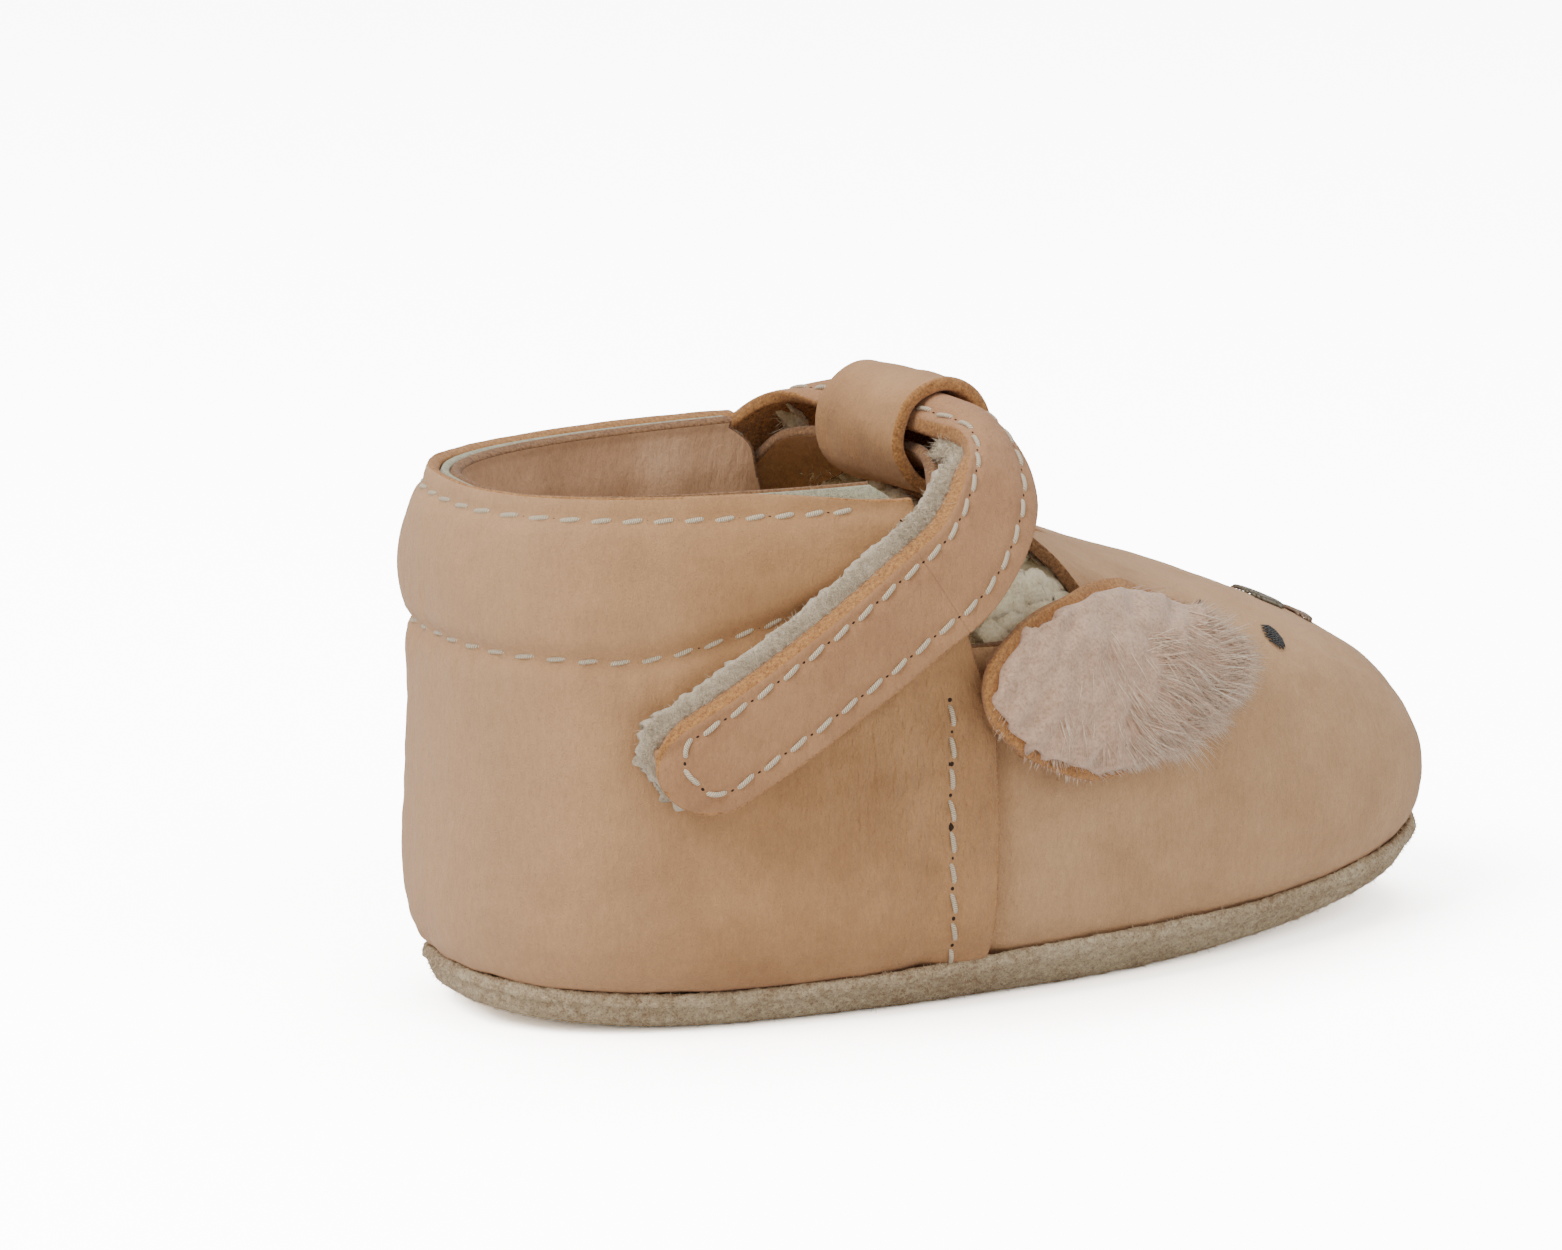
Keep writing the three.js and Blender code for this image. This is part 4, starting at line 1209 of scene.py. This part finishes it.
def helix(count, spin, turn):
    """Map of the cords: `spin` from each ring to the next, and `turn` once round."""
    shape = (count, RINGS, SIDES)
    spins = np.broadcast_to((np.arange(RINGS) * spin)[None, :, None], shape)
    turns = np.broadcast_to((np.arange(SIDES) / SIDES * turn)[None, None], shape)
    return np.stack([spins, turns], -1).reshape(-1, 2)


def stitch_row(name, line, normal, pitch):
    """Stitches and holes along a line of points with their normals. Every stitch is a tube
    whose middle line rises as a flat arch, and whose ends sink into the holes."""
    walked = run_length(line, 0)
    count = max(1, int(round(walked[-1] / pitch)))
    pitch = walked[-1] / count

    def at(d):
        """Places and normals at distances d along the line."""
        here, up = (np.stack([np.interp(d, walked, field[:, k]) for k in range(3)], -1)
                    for field in (line, normal))
        return here, unit(up)

    w = np.linspace(-1, 1, RINGS)
    d = (np.arange(count) + 0.5)[:, None] * pitch + w[None] * pitch * SHARE / 2
    centre, up = (field.reshape(count, RINGS, 3) for field in at(d.ravel()))
    across = np.cross(up, unit(np.gradient(centre, axis=1)))
    arch = (1.3 * (1 - np.abs(w) ** 3) - 0.75) * THREAD_R
    centre = centre + up * arch[None, :, None] + across * (w * SLANT * pitch)[None, :, None]
    radius = THREAD_R * (1 - 0.45 * np.abs(w) ** 4) * np.where(np.abs(w) > 0.999, 0.35, 1)
    tube, cells, base = cords(centre, across, up, radius, 0.8)
    tips = centre[:, [0, -1]].reshape(-1, 3)
    tip_at = len(tube) + np.arange(count)[:, None, None] * 2
    j = np.arange(SIDES)
    low = np.stack([np.roll(j, -1), j], -1)[None] + base
    high = np.stack([j, np.roll(j, -1)], -1)[None] + base + (RINGS - 1) * SIDES
    caps = [np.concatenate([e, np.broadcast_to(tip_at + i, (count, SIDES, 1))], -1).reshape(-1, 3)
            for i, e in enumerate((low, high))]
    uv = np.concatenate([helix(count, 1.1, 2.0), np.zeros((count * 2, 2))])
    return make(name, np.concatenate([tube, tips]), [cells, *caps], thread, uv=uv), at, pitch, count


def hole_shade_row(name, at, pitch, count):
    """Dark lens at each needle hole, painted shade for the hole: a fan whose middle is a little proud.
    """
    sides = 10
    d = np.arange(count + 1) * pitch
    centre, up = at(d)
    along = unit(at(d + 0.3)[0] - at(d - 0.3)[0])
    across = np.cross(up, along)
    k = np.arange(sides) / sides * 2 * np.pi
    long, short = (np.cos(k) * HOLE_R)[:, None], (np.sin(k) * HOLE_R * 0.75)[:, None]
    rim = centre[:, None] - up[:, None] * 0.12 + (along[:, None] * long + across[:, None] * short)
    points = np.concatenate([rim, (centre + up * 0.06)[:, None], (centre - up * 0.5)[:, None]], 1)
    base = np.arange(len(centre))[:, None, None] * (sides + 2)
    j = np.arange(sides)
    top = np.stack([j, np.roll(j, -1), np.full(sides, sides)], -1)
    bottom = np.stack([np.roll(j, -1), j, np.full(sides, sides + 1)], -1)
    fans = (np.concatenate([top, bottom])[None] + base).reshape(-1, 3)
    return make(name, points.reshape(-1, 3), fans, painted_hole_shade)


def sew(name, line_of, n=400, body="shoe", nodes=(), bend=None, pitch=PITCH):
    """A row along line_of(t, off), where off lifts the point off the leather."""
    t = np.linspace(0, 1, n)
    line = line_of(t, np.zeros(n))
    normal = unit(line_of(t, np.ones(n)) - line)
    piece, at, pitch, count = stitch_row(name, line, normal, pitch)
    settle(piece, body, nodes, bend)
    settle(hole_shade_row(name + "_holes", at, pitch, count), body, (), bend)


def on_quarter(a, s, off):
    return quarter_face(a, s) + outward(a, s) * off[:, None]


sew("stitches_topline", lambda t, off: on_quarter(mix(100.5, 256, t), TOP_STITCH + 0 * t, off),
    nodes=["thread_topline"])
sew("stitches_collar",
    lambda t, off: on_quarter(mix(98, 250.5, t), collar_line(mix(98, 250.5, t)), off),
    nodes=["thread_collar"])
for word, side in BOTH_SIDES:
    def seam(t, off, side=side):
        a = 92.9 + 1.2 * t * t + 1.2 * bell(t - 0.5, 0.4)
        return on_quarter(a if side > 0 else 360 - a, mix(0.07, 0.6, t), off)
    sew("stitches_seam_" + word, seam, nodes=["thread_seam_" + word])

    def tack(t, off, side=side):
        s = mix(0.93, 0.85, t)
        a = front_edge(s) + 2.6
        return on_quarter(a if side > 0 else 360 - a, s, off)
    sew("stitches_tack_" + word, tack, pitch=1.7)

for v, word in ((-INSET, "upper"), (INSET, "lower")):
    sew("stitches_flap_" + word, lambda t, off, v=v: strap_face(mix(0.03, HALF_T, t), v + 0 * t, off),
        body=None, nodes=["thread_flap_" + word], bend=LIFT_BEND)


def round_the_tip(t, off):
    """Up one side of the tip, round its end in half a turn, and back down the other."""
    leg = 0.44
    turned = np.pi * np.clip((t - leg) / (1 - 2 * leg), 0, 1)
    out = np.where(t < leg, t / leg, np.where(t > 1 - leg, (1 - t) / leg, 1))
    return strap_face(mix(HALF_T, 0.942, out) + np.sin(turned) * 0.026, -INSET * np.cos(turned), off)


sew("stitches_tip", round_the_tip, n=700, body=None, nodes=["thread_tip"], bend=CURL_BEND)

# %% [markdown]
# ## The face
# Eyes, nose and mouth are satin stitch: threads laid side by side until they fill a small
# shape, each a little longer or shorter than the next.

# %% Satin stitch


def satin(name, place, half, count, material, node, bend=0.0):
    """Threads along p laid side by side across q, over an ellipse. place(p, q, off) is the
    wall; each thread arches off it by the fourth power of the distance from the middle."""
    r = np.random.default_rng(len(name) * 7)
    q = (np.arange(count) + 0.5) / count * 2 - 1
    reach = half[0] * np.sqrt(1 - 0.96 * q * q) * (1 + r.uniform(-0.08, 0.08, count))
    w = np.linspace(-1, 1, RINGS)
    p = reach[:, None] * w[None]
    q_mm = np.repeat((q * half[1])[:, None], RINGS, 1) + bend * p * p
    arch = 0.42 * (1 - 0.8 * w ** 4)[None] * np.sqrt(1 - 0.6 * q[:, None] ** 2)
    centre = place(p, q_mm, arch)
    up = unit(place(p, q_mm, arch + 1) - centre)
    across = np.cross(up, unit(np.gradient(centre, axis=1)))
    radius = half[1] / count * 1.25 * np.where(np.abs(w) > 0.99, 0.3, 1)
    tube, cells, base = cords(centre, across, up, radius)
    j = np.arange(SIDES)
    low, high = (j[::-1][None, None] + base)[:, 0], (j[None, None] + base + (RINGS - 1) * SIDES)[:, 0]
    piece = make(name, tube, [cells, np.concatenate([low, high])], material,
                 uv=helix(count, 0.7, 1.0))
    settle(piece, "shoe", [node])


def vamp_at(a, s, off):
    return vamp_face(a, s) + outward(a, s) * np.asarray(off)[..., None]


EYE_AT, EYE_HALF, EYE_TURN = (36.1, 33.8), (1.5, 0.85), -0.75
for word, side in BOTH_SIDES:
    def on_eye(p, q, off, side=side):
        return vamp_at(*locate(*patch(EYE_AT, EYE_TURN, p, q), side), off)
    satin("satin_eye_" + word, on_eye, EYE_HALF, 9, thread_black, "eye_" + word)


def on_toe(x, y):
    """Plan angle and share of the toe's ridge at (x, y), stepped towards it."""
    s, a = np.full(np.shape(x), 0.55), np.zeros(np.shape(x))
    for _ in range(40):
        p = surface(a, s)
        s = np.clip(s + (p[..., 0] - x) * 0.006, 0, 1)
        a = a + (y - (p[..., 1] - swing(p[..., 0]))) * 0.8
    return a, s


for node, x, half, count, cord, bend in (("nose", 42.5, (4.2, 2.4), 13, thread_olive, 0.0),
                                         ("mouth", 47.6, (4.6, 1.0), 6, thread_brown, -0.06)):
    satin("satin_" + node, lambda p, q, off: vamp_at(*on_toe(x + q, p), off), half, count, cord,
          node, bend)
